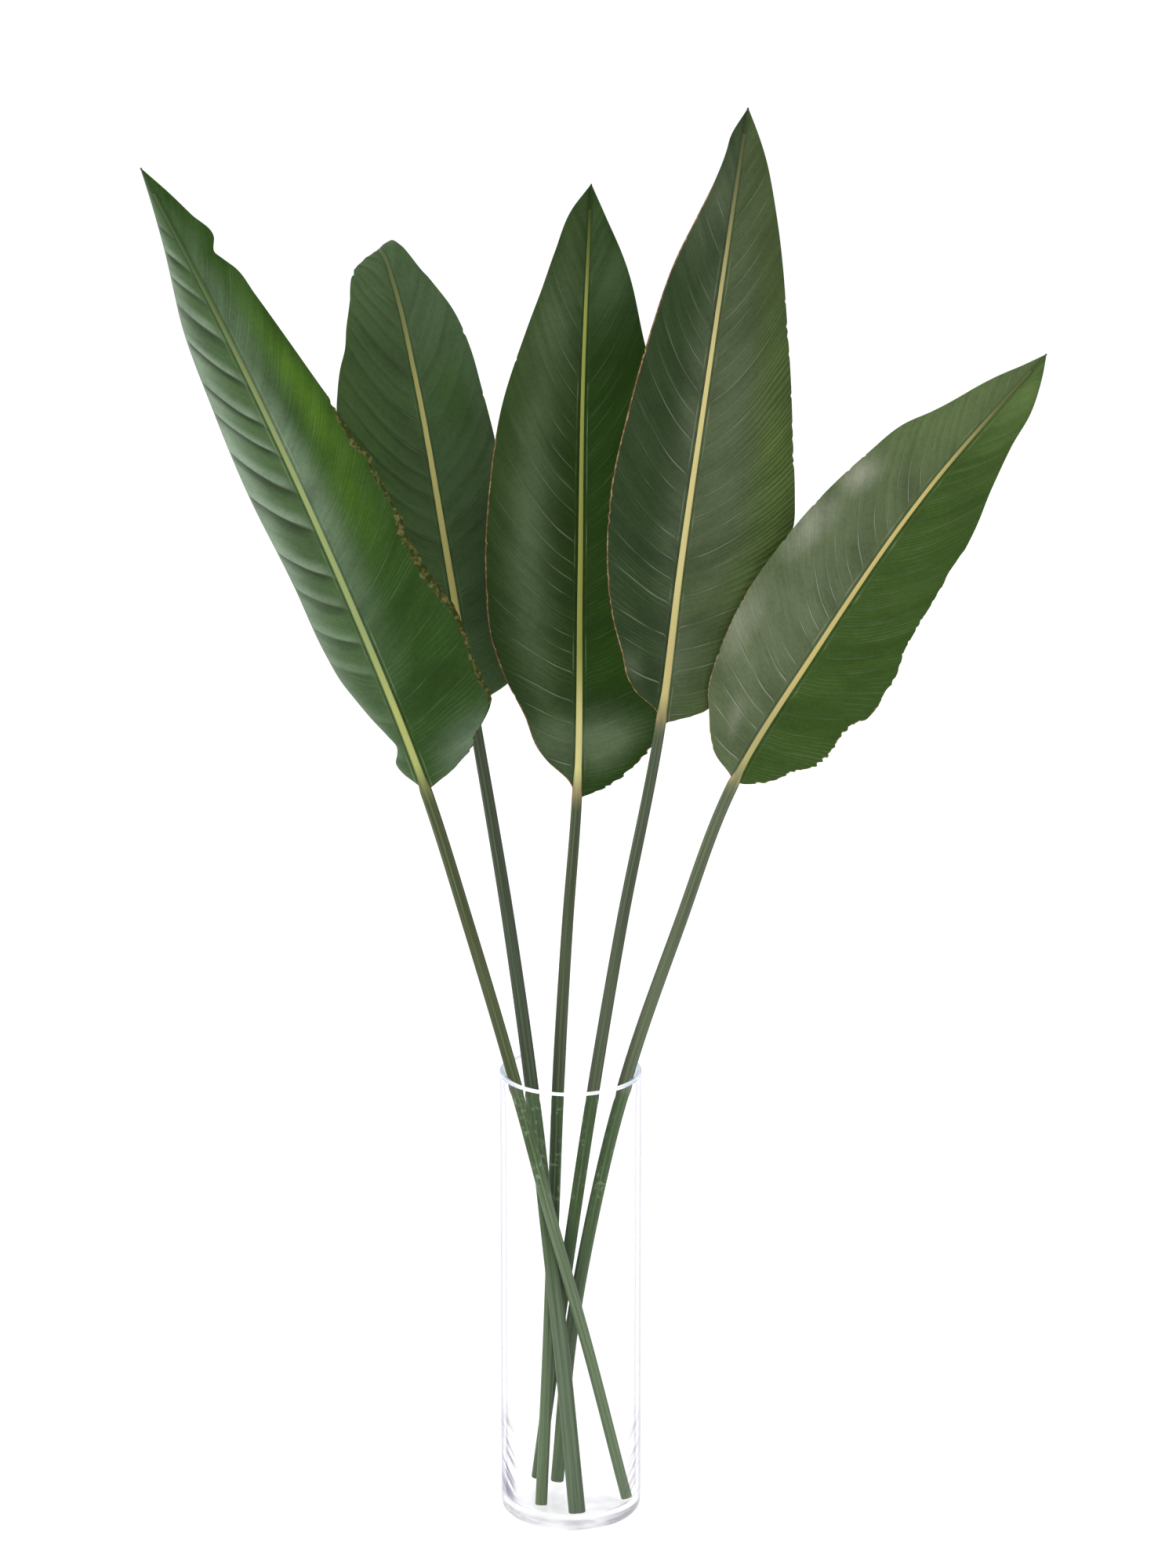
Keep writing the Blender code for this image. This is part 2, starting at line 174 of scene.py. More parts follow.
# One entry for each leaf, as it is modelled.
# centreline: stations from the cut foot to the tip; the sixth is where the blade starts.
# radii: of the stalk at its foot, at the vase's rim and at the blade.
# left, right: (percent of the blade's length, half-width), as the viewer sees the leaf.
# left_fold, right_fold: the blade's slope in degrees at the midrib and at the margin, + towards
# the viewer.
# ripple: height and number of the margin's waves.
# bites: number and depth of the notches in the right margin.
LEAVES = {
    "leaf_far_left": dict(
        centreline=[
            (35.5, -11, 10), (11, -12, 114), (-14, -13, 210), (-35, -7, 293), (-64, -11, 400),
            (-90, -18, 491), (-138, -26, 622), (-189, -30, 743), (-228, -34, 828), (-259, -38, 892),
        ],
        radii=(3.5, 3.9, 3.9), facing=(0.05, -0.95, 0.28),
        left=[
            (0, 0), (1.5, 7), (3, 14), (4.6, 17), (6, 13), (7.2, 11), (9, 15), (12, 23), (15, 30),
            (18, 36), (23, 40), (34, 42),
            (51, 46), (63, 42), (77, 32), (81, 26), (88, 15), (94, 7), (100, 0),
        ],
        right=[
            (0, 0), (2, 25), (6, 46), (8, 56), (16, 60), (21, 61), (28, 55), (34, 52), (46, 50),
            (54, 44), (61, 38), (69, 32), (77, 26.5), (81, 23.5), (83.3, 18.5), (84.6, 16),
            (86.6, 20), (91, 14), (97, 5), (100, 0),
        ],
        left_fold=(-8, -80), right_fold=(12, -14),
        ripple=(1.6, 7.0), bites=(16, 3.0),
    ),
    "leaf_back_left": dict(
        centreline=[
            (4, -36, 10), (-6, -17, 116), (-16, -3, 206), (-25, 12, 285), (-39, 28, 387),
            (-62, 46, 527), (-79, 60, 631), (-97, 70, 735), (-110, 77, 792), (-116, 85, 808),
            (-120, 94, 810), (-122, 101, 801), (-123, 105, 781), (-123, 106, 759),
        ],
        radii=(5.4, 4.4, 3.7), facing=(-0.05, -0.95, 0.25),
        left=[
            (0, 0), (4, 22), (10, 38), (17, 48), (25, 55), (35, 58), (45, 57), (59, 51), (64, 45),
            (67, 40), (71, 36), (75, 31), (79, 26), (84, 20), (89, 14), (94, 8), (100, 0),
        ],
        right=[
            (0, 0), (3, 25), (6, 30), (10, 35), (18, 40), (28, 43), (48, 42), (56, 40), (63, 38),
            (70, 32), (75, 24), (82, 13), (92, 8), (100, 0),
        ],
        left_fold=(14, -10), right_fold=(14, -22),
        ripple=(1.5, 5.0), bites=(0, 0.0),
    ),
    "leaf_centre": dict(
        centreline=[
            (-19, -22, 10), (-14, -5, 122), (-11, 8, 204), (-8, 18, 283), (-2, 20, 390),
            (4, 20, 474), (6, 22, 611), (8, 26, 746), (13, 34, 866),
        ],
        radii=(3.8, 4.0, 3.3), facing=(0.0, -0.96, 0.2),
        left=[
            (0, 0), (3, 6), (6, 19), (8, 25), (14, 35), (19, 45), (26, 55), (38, 60), (51, 58),
            (64, 51), (77, 36), (83, 28), (89, 21), (96, 11), (100, 0),
        ],
        right=[
            (0, 0), (2, 17), (5, 32), (9, 47), (13, 56), (26, 60), (38, 59), (51, 56), (61, 50),
            (69, 45), (75, 38), (87, 25), (95, 10), (100, 0),
        ],
        left_fold=(20, -12), right_fold=(18, -6),
        ripple=(1.5, 6.0), bites=(0, 0.0),
    ),
    "leaf_tall_right": dict(
        centreline=[
            (-22, 23, 9), (-8, 5, 124), (3, -8, 210), (15, -21, 298), (32, -30, 407),
            (56, -40, 542), (68, -45, 646), (84, -48, 765), (107, -52, 932),
        ],
        radii=(4.0, 4.0, 3.3), facing=(-0.06, -0.97, 0.1),
        left=[
            (0, 0), (2, 4), (4.5, 17), (6.5, 23), (11, 30), (16, 37), (23, 44), (31, 48), (38, 49),
            (50, 45.5), (64, 38.5), (76, 29), (82, 21), (88, 13.5), (93, 9), (95, 8), (100, 0),
        ],
        right=[
            (0, 0), (1.5, 16), (4, 30), (8, 37), (14, 47), (20, 55), (27, 62), (36, 66), (40, 64),
            (50, 57), (63, 47), (76, 35.5), (88, 22), (95, 11), (100, 0),
        ],
        left_fold=(18, -8), right_fold=(14, -20),
        ripple=(1.5, 7.0), bites=(0, 0.0),
    ),
    "leaf_far_right": dict(
        centreline=[
            (-9, 18, 9), (1, 3, 125), (15, -3, 208), (34, -9, 293), (68, -26, 405),
            (101, -44, 504), (150, -58, 593), (221, -72, 705), (287, -84, 788),
        ],
        radii=(4.3, 4.2, 3.7), facing=(0.05, -0.96, 0.24),
        left=[
            (0, 0), (1.5, 5), (3, 15), (6.5, 27), (10, 35), (13, 42), (18, 48), (25, 53), (37, 56),
            (44, 55), (56, 50), (66, 44), (74, 37), (78, 30), (88, 18), (96, 6), (100, 0),
        ],
        right=[
            (0, 0), (1, 6), (4, 20), (9, 34), (12, 40), (17, 45), (20, 45), (25, 50), (31, 51),
            (37, 49), (44, 45), (58, 42), (67, 37.5), (75, 29.5), (83, 22), (90, 17), (96, 8), (100, 0),
        ],
        left_fold=(14, -16), right_fold=(20, -2),
        ripple=(1.6, 6.0), bites=(14, 2.0),
    ),
}


def colour(red, green, blue):
    """The shader colour that shows these 0 to 255 values in the studio's light."""
    seen = [value / 255 for value in (red, green, blue)]
    linear = [c / 12.92 if c <= 0.04045 else ((c + 0.055) / 1.055) ** 2.4 for c in seen]
    return tuple(max((c - STUDIO_HAZE) / STUDIO_GAIN, LEAST_CHANNEL) for c in linear) + (1.0,)


# The places of the four values that each half has under veins
SPACING, DEPTH, CREASE_SHADING, DRAWING = range(4)

# How each leaf looks.
# left, right: the green of each half; where they differ, it is partly painted light, one half paler and
# greyer and the other darker by how each faces the softboxes. painted_sheen: the grey of the
# painted sheen. fresh_and_backlit: a fresher green, partly painted light shining through the blade.
# lines: the painted highlight on the lit side of a vein, also the pale hair lines and channel line.
# rib, rib_low: the midrib and its base. rib_fade: the percents between which it fades to green.
# rib_width: the midrib's width, where the blade begins, as a share of the stalk's.
# stalk, stalk_behind_glass, stalk_low: the stalk above the vase's rim, below it and at its foot. Below
# the rim, the colour changes by the height at which each place is seen on the front wall: the stalk's
# look through the glass, painted on. behind_glass_fade: the heights in mm between which
# stalk_behind_glass turns to stalk_low, where they aren't the usual.
# veins: for each half, the spacing and depth in mm of the side veins, the strength of the painted
# light and shade on the creases between them, and how strongly they are drawn. A depth below 0 makes
# them ridges, not grooves.
# painted_sheen_on, fresh_and_backlit_on, pleats_on: patches of painted sheen, of fresher green with
# painted light through the blade, and of fine pleats with painted shade between them, each (side,
# place across from 0 at the midrib to 1 at the margin, percent of length, reach across, reach in
# percent, strength). A side is -1 for left or 1 for right.
# dry: brown stretches of margin, each (side, start and end in percent, reach in mm), from dry_dark
# to dry_pale. nibbles: small tears, each (side, start and end in percent, count, depth in mm).
USUAL_LOOK = dict(behind_glass_fade=(225.0, 130.0), pleats_on=[])
LOOKS = {
    "leaf_far_left": dict(
        left=colour(74, 96, 62), right=colour(51, 75, 36),
        painted_sheen=colour(144, 163, 141), fresh_and_backlit=colour(78, 112, 38), lines=colour(150, 168, 132),
        rib=colour(148, 161, 106), rib_low=colour(178, 180, 106), rib_fade=(44.0, 92.0), rib_width=0.7,
        stalk=colour(80, 88, 60), stalk_behind_glass=colour(68, 90, 53), stalk_low=colour(105, 123, 93),
        behind_glass_fade=(275.0, 205.0), pleats_on=[(1, 0.6, 60, 0.35, 16, 0.35)],
        veins=((26.0, -1.3, 1.0, 0.5), (17.0, 0.12, 0.02, 0.35)),
        painted_sheen_on=[
            (-1, 0.9, 60, 0.4, 46, 0.85), (1, 0.1, 52, 0.24, 26, 0.45), (1, 0.2, 75, 0.4, 18, 0.22),
            (1, 1.0, 5, 0.6, 4, 0.45),
        ],
        fresh_and_backlit_on=[(1, 0.7, 62, 0.25, 15, 1.0), (1, 0.55, 46, 0.28, 10, 0.5)],
        dry=[(1, 8, 57, 3.0), (1, 22, 40, 5.5), (1, 0, 8, 1.0)],
        dry_dark=colour(50, 54, 30), dry_pale=colour(104, 98, 62),
        nibbles=[(1, 0, 58, 110, 1.7)],
    ),
    "leaf_back_left": dict(
        left=colour(70, 90, 57), right=colour(73, 94, 63),
        painted_sheen=colour(86, 102, 76), fresh_and_backlit=colour(60, 88, 36), lines=colour(108, 126, 94),
        rib=colour(186, 178, 112), rib_low=colour(200, 186, 116), rib_fade=(42.0, 86.0), rib_width=0.85,
        stalk=colour(74, 83, 66), stalk_behind_glass=colour(72, 94, 58), stalk_low=colour(93, 109, 85),
        veins=((15.0, -0.5, 0.4, 0.8), (15.0, -0.35, 0.2, 0.7)),
        painted_sheen_on=[(-1, 0.5, 80, 0.8, 10, 0.3), (1, 0.3, 72, 0.8, 10, 0.5), (1, 0.9, 48, 0.15, 14, 0.6)],
        fresh_and_backlit_on=[(-1, 0.8, 35, 0.4, 20, 0.5), (1, 0.5, 55, 0.3, 8, 0.5)],
        dry=[(-1, 2, 12, 0.5)],
        dry_dark=colour(84, 78, 50), dry_pale=colour(140, 124, 90),
        nibbles=[(-1, 6, 60, 7, 0.8), (1, 6, 66, 8, 0.8)],
    ),
    "leaf_centre": dict(
        left=colour(50, 68, 36), right=colour(42, 64, 22),
        painted_sheen=colour(90, 106, 78), fresh_and_backlit=colour(50, 78, 26), lines=colour(136, 150, 124),
        rib=colour(150, 154, 78), rib_low=colour(226, 216, 150), rib_fade=(76.0, 98.0), rib_width=0.98,
        stalk=colour(80, 89, 67), stalk_behind_glass=colour(66, 87, 52), stalk_low=colour(98, 116, 86),
        veins=((13.0, 0.2, 0.07, 1.1), (13.0, 0.12, 0.03, 0.35)),
        painted_sheen_on=[
            (-1, 0.55, 45, 0.25, 34, 0.7), (1, 0.3, 10, 0.45, 5, 1.4), (-1, 0.5, 9, 0.7, 6, 1.0),
            (-1, 0.5, 80, 0.6, 14, 0.5), (1, 0.5, 88, 0.9, 12, 0.4),
        ],
        fresh_and_backlit_on=[(1, 0.7, 25, 0.5, 10, 0.5)],
        dry=[(-1, 0, 62, 0.9), (1, 6, 16, 0.8)],
        dry_dark=colour(120, 88, 68), dry_pale=colour(156, 126, 98),
        nibbles=[(-1, 6, 72, 8, 0.7), (1, 20, 72, 6, 0.7), (1, 1, 13, 26, 2.2)],
    ),
    "leaf_tall_right": dict(
        left=colour(50, 65, 42), right=colour(70, 83, 54),
        painted_sheen=colour(88, 98, 76), fresh_and_backlit=colour(92, 114, 54), lines=colour(146, 154, 132),
        rib=colour(200, 188, 128), rib_low=colour(186, 172, 116), rib_fade=(54.0, 98.0), rib_width=0.98,
        stalk=colour(82, 91, 72), stalk_behind_glass=colour(62, 83, 48), stalk_low=colour(88, 104, 76),
        veins=((15.0, 0.2, 0.05, 0.95), (14.0, 0.18, 0.04, 0.9)),
        painted_sheen_on=[
            (-1, 0.1, 48, 0.26, 36, 0.7), (1, 0.3, 50, 0.4, 32, 0.7), (1, 0.1, 12, 0.3, 8, 0.8),
            (-1, 0.8, 9, 0.3, 3, 0.7), (-1, 0.5, 86, 0.9, 10, 0.7),
        ],
        fresh_and_backlit_on=[(1, 0.8, 42, 0.3, 30, 0.7)],
        pleats_on=[(1, 0.85, 45, 0.42, 34, 0.8)],
        dry=[(-1, -3, 88, 0.9), (1, -3, 4, 0.9)],
        dry_dark=colour(118, 88, 68), dry_pale=colour(160, 132, 100),
        nibbles=[(-1, 6, 72, 10, 0.7), (1, 12, 72, 14, 1.0), (1, 1, 10, 12, 1.4)],
    ),
    "leaf_far_right": dict(
        left=colour(84, 98, 66), right=colour(61, 83, 40),
        painted_sheen=colour(136, 141, 122), fresh_and_backlit=colour(90, 110, 64), lines=colour(168, 174, 156),
        rib=colour(194, 178, 114), rib_low=colour(170, 162, 110), rib_fade=(62.0, 93.0), rib_width=0.74,
        stalk=colour(98, 107, 84), stalk_behind_glass=colour(74, 97, 60), stalk_low=colour(92, 110, 82),
        veins=((10.5, 0.2, 0.1, 1.1), (13.0, 0.15, 0.04, 0.25)),
        painted_sheen_on=[
            (-1, 0.5, 30, 0.6, 38, 0.2), (-1, 0.9, 28, 0.25, 10, 0.6), (-1, 0.5, 12, 0.15, 5, 0.6),
            (-1, 0.87, 50, 0.22, 7, 0.85), (-1, 0.85, 62.5, 0.2, 4.5, 1.0),
        ],
        fresh_and_backlit_on=[(-1, 0.6, 82, 0.8, 16, 0.6), (1, 0.5, 92, 0.8, 13, 0.8)],
        dry=[(-1, 0, 34, 0.6), (1, -3, 30, 0.7)],
        dry_dark=colour(104, 92, 64), dry_pale=colour(160, 146, 110),
        nibbles=[(-1, 2, 72, 10, 0.8), (1, 0, 24, 44, 1.7), (1, 24, 60, 14, 0.9)],
    ),
}
SHADE = (0.0, 0.0, 0.0, 1.0)
CLEAR_TINT = (1.0, 1.0, 1.0, 1.0)
SMEAR_TINT = (0.985, 0.988, 0.995, 1.0)
# The glass's own tint, deepened into a painted violet grey edge where the glass is seen edge-on
EDGE_TINT_AND_SHADE = (0.34, 0.32, 0.42, 1.0)
# Painted refraction streaks, low in the glass's corners
PAINTED_REFRACTION_STREAK = (0.18, 0.17, 0.24, 1.0)
# The underside: white standing in for the bright floor seen through the base, with painted grey patches
BASE_PAINTED_WHITE = (0.95, 0.95, 0.96, 1.0)
BASE_PAINTED_GREY = (0.86, 0.86, 0.9, 1.0)
# The lip's painted highlight, and its painted blue glint at the two sides
LIP_HIGHLIGHT = (0.97, 0.985, 1.0, 1.0)
LIP_BLUE_GLINT = (0.38, 0.54, 0.74, 1.0)
# Painted light and shade in the thick heel
HEEL_LIGHT = (0.74, 0.735, 0.76, 1.0)
HEEL_DARK = (0.17, 0.165, 0.2, 1.0)
UNDERSIDE = colour(112, 130, 92)
UNDERSIDE_VEIN = colour(140, 152, 112)
CUT_FIBRE = colour(168, 158, 118)
CUT_RIM = colour(112, 98, 66)


class Number:
    """A socket that carries a number. Arithmetic on it adds Math nodes to its finish."""

    def __init__(self, finish, socket):
        self.finish = finish
        self.socket = socket

    def sum_up(self, operation, first, second=0.0):
        node = self.finish.add("ShaderNodeMath", {"operation": operation}, {0: first, 1: second})
        return Number(self.finish, node.outputs[0])

    def __add__(self, other):
        return self.sum_up("ADD", self, other)

    def __radd__(self, other):
        return self.sum_up("ADD", other, self)

    def __sub__(self, other):
        return self.sum_up("SUBTRACT", self, other)

    def __rsub__(self, other):
        return self.sum_up("SUBTRACT", other, self)

    def __mul__(self, other):
        return self.sum_up("MULTIPLY", self, other)

    def __rmul__(self, other):
        return self.sum_up("MULTIPLY", other, self)

    def __truediv__(self, other):
        return self.sum_up("DIVIDE", self, other)

    def __rtruediv__(self, other):
        return self.sum_up("DIVIDE", other, self)

    def __abs__(self):
        return self.sum_up("ABSOLUTE", self)

    def fraction(self):
        return self.sum_up("FRACT", self)

    def nearest(self):
        return self.sum_up("ROUND", self)

    def sine(self):
        return self.sum_up("SINE", self)

    def larger(self, other):
        return self.sum_up("MAXIMUM", self, other)

    def smaller(self, other):
        return self.sum_up("MINIMUM", self, other)

    def rise(self, low, high):
        """0 at low, 1 at high, smooth between them and level beyond them; low may be the larger one."""
        start, end = (low, high) if low < high else (high, low)
        values = {"Value": self, "From Min": start, "From Max": end}
        if low > high:
            values.update({"To Min": 1.0, "To Max": 0.0})
        node = self.finish.add("ShaderNodeMapRange", {"interpolation_type": "SMOOTHSTEP"}, values)
        return Number(self.finish, node.outputs["Result"])


class Finish:
    """One material: its Principled shader and the nodes that feed it."""

    def __init__(self, name, **constants):
        self.material = bpy.data.materials.new(name)
        self.material.use_nodes = True
        self.tree = self.material.node_tree
        self.shader = self.tree.nodes["Principled BSDF"]
        self.finish(Metallic=0.0, **constants)

    def feed(self, socket, value):
        """Sets a socket to a plain value, or links what comes from another node."""
        if isinstance(value, Number):
            value = value.socket
        if isinstance(value, bpy.types.NodeSocket):
            self.tree.links.new(value, socket)
        else:
            socket.default_value = value

    def add(self, kind, settings, values):
        node = self.tree.nodes.new(kind)
        for key, value in settings.items():
            setattr(node, key, value)
        for key, value in values.items():
            self.feed(node.inputs[key], value)
        return node

    def read(self, attribute):
        """A number stored on the mesh."""
        node = self.add("ShaderNodeAttribute", {"attribute_name": attribute}, {})
        return Number(self, node.outputs["Fac"])

    def point(self, x, y, z):
        return self.add("ShaderNodeCombineXYZ", {}, {"X": x, "Y": y, "Z": z}).outputs["Vector"]

    def place(self):
        return self.add("ShaderNodeTexCoord", {}, {}).outputs["Object"]

    def noise(self, vector, scale, detail=2.0, roughness=0.5):
        values = {"Vector": vector, "Scale": scale, "Detail": detail, "Roughness": roughness}
        return Number(self, self.add("ShaderNodeTexNoise", {}, values).outputs["Fac"])

    def mottle(self, scale, detail=2.0, roughness=0.5):
        return self.noise(self.place(), scale, detail, roughness)

    def mix(self, mask, first, second):
        """first where the mask is 0, second where it is 1."""
        node = self.add("ShaderNodeMix", {"data_type": "RGBA"}, {0: mask, 6: first, 7: second})
        return node.outputs[2]

    def bump(self, height_mm, strength=1.0):
        values = {"Strength": strength, "Distance": MM, "Height": height_mm}
        return self.add("ShaderNodeBump", {}, values).outputs["Normal"]

    def finish(self, **results):
        for socket, value in results.items():
            self.feed(self.shader.inputs[socket.replace("_", " ")], value)
        return self.material


def nothing_selected():
    bpy.ops.object.select_all(action="DESELECT")


def place_camera():
    bpy.ops.object.camera_add(
        location=CAMERA_PLACE, rotation=(math.radians(90 - CAMERA_PITCH), 0.0, 0.0)
    )
    camera = bpy.context.object
    camera.name = "studio_camera"
    camera.data.sensor_width = CAMERA_SENSOR_MM
    camera.data.lens = CAMERA_LENS_MM
    bpy.context.scene.camera = camera


def softbox(name, place, aim, width, height, watts):
    """A rectangular light at a place, turned to face a point."""
    bpy.ops.object.light_add(type="AREA", location=place)
    box = bpy.context.object
    box.name = name
    box.data.shape = "RECTANGLE"
    box.data.size = width
    box.data.size_y = height
    box.data.energy = watts
    away = np.array(aim, float) - np.array(place, float)
    yaw = math.atan2(away[1], away[0]) - math.pi / 2
    pitch = math.atan2(away[2], math.hypot(away[0], away[1]))
    box.rotation_euler = (math.pi / 2 + pitch, 0.0, yaw)


def light_studio():
    """Even white air all round, and softboxes for the sheen on the leaves."""
    world = bpy.data.worlds.new("studio_air")
    world.use_nodes = True
    air = world.node_tree.nodes["Background"]
    air.inputs["Color"].default_value = (1.0, 1.0, 1.0, 1.0)
    air.inputs["Strength"].default_value = AIR_LIGHT
    bpy.context.scene.world = world
    bpy.context.scene.view_settings.view_transform = "Standard"
    for name, setting in SOFTBOXES.items():
        softbox(name, *setting)


def lay_floor():
    """A wide, plain, pale floor, which runs far behind the vase as the backdrop."""
    bpy.ops.mesh.primitive_plane_add(size=FLOOR_SIZE, location=(0.0, 0.0, 0.0))
    floor = bpy.context.object
    floor.name = "studio_floor"
    paper = Finish("white_paper", Roughness=0.9, Specular_IOR_Level=0.1)
    mottle = paper.mottle(3.0, 3.0)
    floor.data.materials.append(paper.finish(Base_Color=paper.mix(mottle, PAPER_DARK, PAPER_LIGHT)))


def wear(piece):
    """The piece rides with the vase."""
    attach(piece, "root")


def in_edit_mode(piece, element):
    bpy.context.view_layer.objects.active = piece
    bpy.ops.object.mode_set(mode="EDIT")
    bpy.ops.mesh.select_mode(type=element)


def unpick(mesh):
    for part in (mesh.vertices, mesh.edges, mesh.polygons):
        part.foreach_set("select", [False] * len(part))


def pick_edges(piece, wanted):
    """Selects the edges whose two ends, in mm, pass the test, and opens edit mode on them."""
    mesh = piece.data
    unpick(mesh)
    for edge in mesh.edges:
        first, second = (mesh.vertices[i].co / MM for i in edge.vertices)
        edge.select = bool(wanted(first, second))
    in_edit_mode(piece, "EDGE")


def pick_faces(piece, wanted):
    """Selects the faces that pass the test, and opens edit mode on them."""
    unpick(piece.data)
    for face in piece.data.polygons:
        face.select = bool(wanted(face))
    in_edit_mode(piece, "FACE")


def round_edges(piece, radius_mm, height_mm, reach_mm):
    """Bevels the ring of edges at this radius and height."""

    def on_ring(first, second):
        return all(
            abs(math.hypot(end.x, end.y) - radius_mm) < RING_TOLERANCE_MM
            and abs(end.z - height_mm) < RING_TOLERANCE_MM
            for end in (first, second)
        )

    pick_edges(piece, on_ring)
    bpy.ops.mesh.bevel(offset=reach_mm * MM, segments=BEVEL_STEPS, affect="EDGES")
    bpy.ops.object.mode_set(mode="OBJECT")


def clear_glass():
    """Clear glass: its own tint deepened to a painted violet grey where it is seen edge-on, with painted
    refraction streaks, and painted light and shade in the heel with a dark wedge low down.
    """
    glass = Finish("clear_glass", Roughness=0.0, IOR=GLASS_IOR, Transmission_Weight=1.0)
    spot = glass.place()
    parts = glass.add("ShaderNodeSeparateXYZ", {}, {"Vector": spot})
    x, y, z = (Number(glass, parts.outputs[axis]) / MM for axis in "XYZ")
    waves = glass.noise(spot, 22.0, 1.0)
    smears = glass.noise(spot, 60.0, 3.0)
    turned = Number(glass, glass.add("ShaderNodeLayerWeight", {}, {"Blend": 0.5}).outputs["Facing"])
    tint = glass.mix(smears, CLEAR_TINT, SMEAR_TINT)
    # Painted dark edge where the glass is seen edge-on, over its own tint.
    tint = glass.mix(turned.rise(*EDGE_TURN), tint, EDGE_TINT_AND_SHADE)
    # Painted refraction streaks in the lower corners.
    slant = glass.noise(glass.point(x * 0.02, y * 0.02, z * 0.2 - abs(x) * 0.3), 1.0, 2.0, 0.6)
    corner = turned.rise(*STREAK_TURN) * (0.6 + (x * -1.0).rise(*STREAK_SIDE_MM) * 0.4)
    low_down = z.rise(*STREAK_TOP_MM) * z.rise(*STREAK_FOOT_MM) * y.rise(*STREAK_FRONT_MM)
    tint = glass.mix(slant.rise(0.47, 0.57) * low_down * corner, tint, PAINTED_REFRACTION_STREAK)
    # Painted light and shade in the heel, with painted shade growing towards its sides, most on the
    # right.
    cloud = glass.noise(glass.point(x * 0.04, y * 0.04, z * 0.2), 1.0, 3.0, 0.6)
    wedge = x.rise(*WEDGE_RIGHT_MM) * 0.8 + (x * -1.0).rise(*WEDGE_LEFT_MM) * 0.45
    heel = glass.mix((cloud.rise(0.44, 0.62) * 0.5 + wedge).smaller(1.0), HEEL_LIGHT, HEEL_DARK)
    tint = glass.mix(z.rise(*HEEL_TOP_MM) * y.rise(*HEEL_FRONT_MM), tint, heel)
    return glass.finish(Base_Color=tint, Normal=glass.bump(waves * 0.12))


def painted_white_base():
    """The underside: a plain white that stands in for the bright floor seen through the thick base, with
    painted grey patches.
    """
    base = Finish("painted_white_base", Roughness=0.8, Specular_IOR_Level=0.1)
    grain = base.mottle(70.0, 3.0)
    return base.finish(Base_Color=base.mix(grain.rise(0.4, 0.7), BASE_PAINTED_WHITE, BASE_PAINTED_GREY))


def lip_glass():
    """The lip: a painted highlight all round it, and a painted blue glint at its two sides."""
    lip = Finish("painted_lip_highlight", Roughness=0.12, IOR=1.5, Transmission_Weight=0.35)
    spot = lip.place()
    smears = lip.noise(spot, 120.0, 2.0)
    parts = lip.add("ShaderNodeSeparateXYZ", {}, {"Vector": spot})
    sideways = abs(Number(lip, parts.outputs["X"]) / MM).rise(*LIP_SIDES_MM)
    blue = (sideways * (0.4 + 0.6 * smears)).smaller(1.0)
    return lip.finish(Base_Color=lip.mix(blue, LIP_HIGHLIGHT, LIP_BLUE_GLINT))


def hollow_out(vase):
    """Sinks the inside of the vase from the top, down to its thick floor."""
    pick_faces(vase, lambda face: face.normal.z > LEVEL_FACE)
    bpy.ops.mesh.inset(thickness=WALL_MM * MM)
    down = (0.0, 0.0, (FLOOR_MM - VASE_HEIGHT_MM) * MM)
    bpy.ops.mesh.extrude_region_move(TRANSFORM_OT_translate={"value": down})
    bpy.ops.object.mode_set(mode="OBJECT")


def raise_punt(vase):
    """Lifts the middle of the underside, so that the vase stands on its rim."""
    pick_faces(vase, lambda face: face.normal.z < -LEVEL_FACE and face.center.length < MM)
    bpy.ops.mesh.inset(thickness=PUNT_REACH_MM * MM)
    bpy.ops.transform.translate(value=(0.0, 0.0, PUNT_RISE_MM * MM))
    bpy.ops.object.mode_set(mode="OBJECT")


def cut_rings(vase):
    """Cuts the wall into rings, which the swelling of the lip needs."""
    for height in GLASS_RINGS_MM:
        in_edit_mode(vase, "EDGE")
        bpy.ops.mesh.select_all(action="SELECT")
        bpy.ops.mesh.bisect(plane_co=(0.0, 0.0, height * MM), plane_no=(0.0, 0.0, 1.0))
        bpy.ops.object.mode_set(mode="OBJECT")


def swell_lip(mesh):
    """Swells the wall at the lip, and keeps the base a hair above the floor."""
    low, high = LIP_SWELL_MM
    for vertex in mesh.vertices:
        vertex.co.z = max(vertex.co.z, STANDING_GAP_MM * MM)
        spread = math.hypot(vertex.co.x, vertex.co.y)
        climb = min(max((vertex.co.z / MM - low) / (high - low), 0.0), 1.0)
        bulge = climb * climb * (3.0 - 2.0 * climb)
        outward = 1.0 if spread / MM > VASE_RADIUS_MM - WALL_MM / 2 else -1.0
        if bulge:
            vertex.co.xy *= (spread + outward * bulge * LIP_BULGE_MM * MM) / spread


def finish_vase(mesh):
    """Clear glass all over, but for the lip and the white underside."""
    for finish in (clear_glass(), lip_glass(), painted_white_base()):
        mesh.materials.append(finish)
    for face in mesh.polygons:
        if face.center.z > (VASE_HEIGHT_MM - LIP_ROUND_MM) * MM:
            face.material_index = 1
        elif face.normal.z < -LEVEL_FACE and face.center.z < PUNT_RISE_MM * MM * 1.5:
            face.material_index = 2


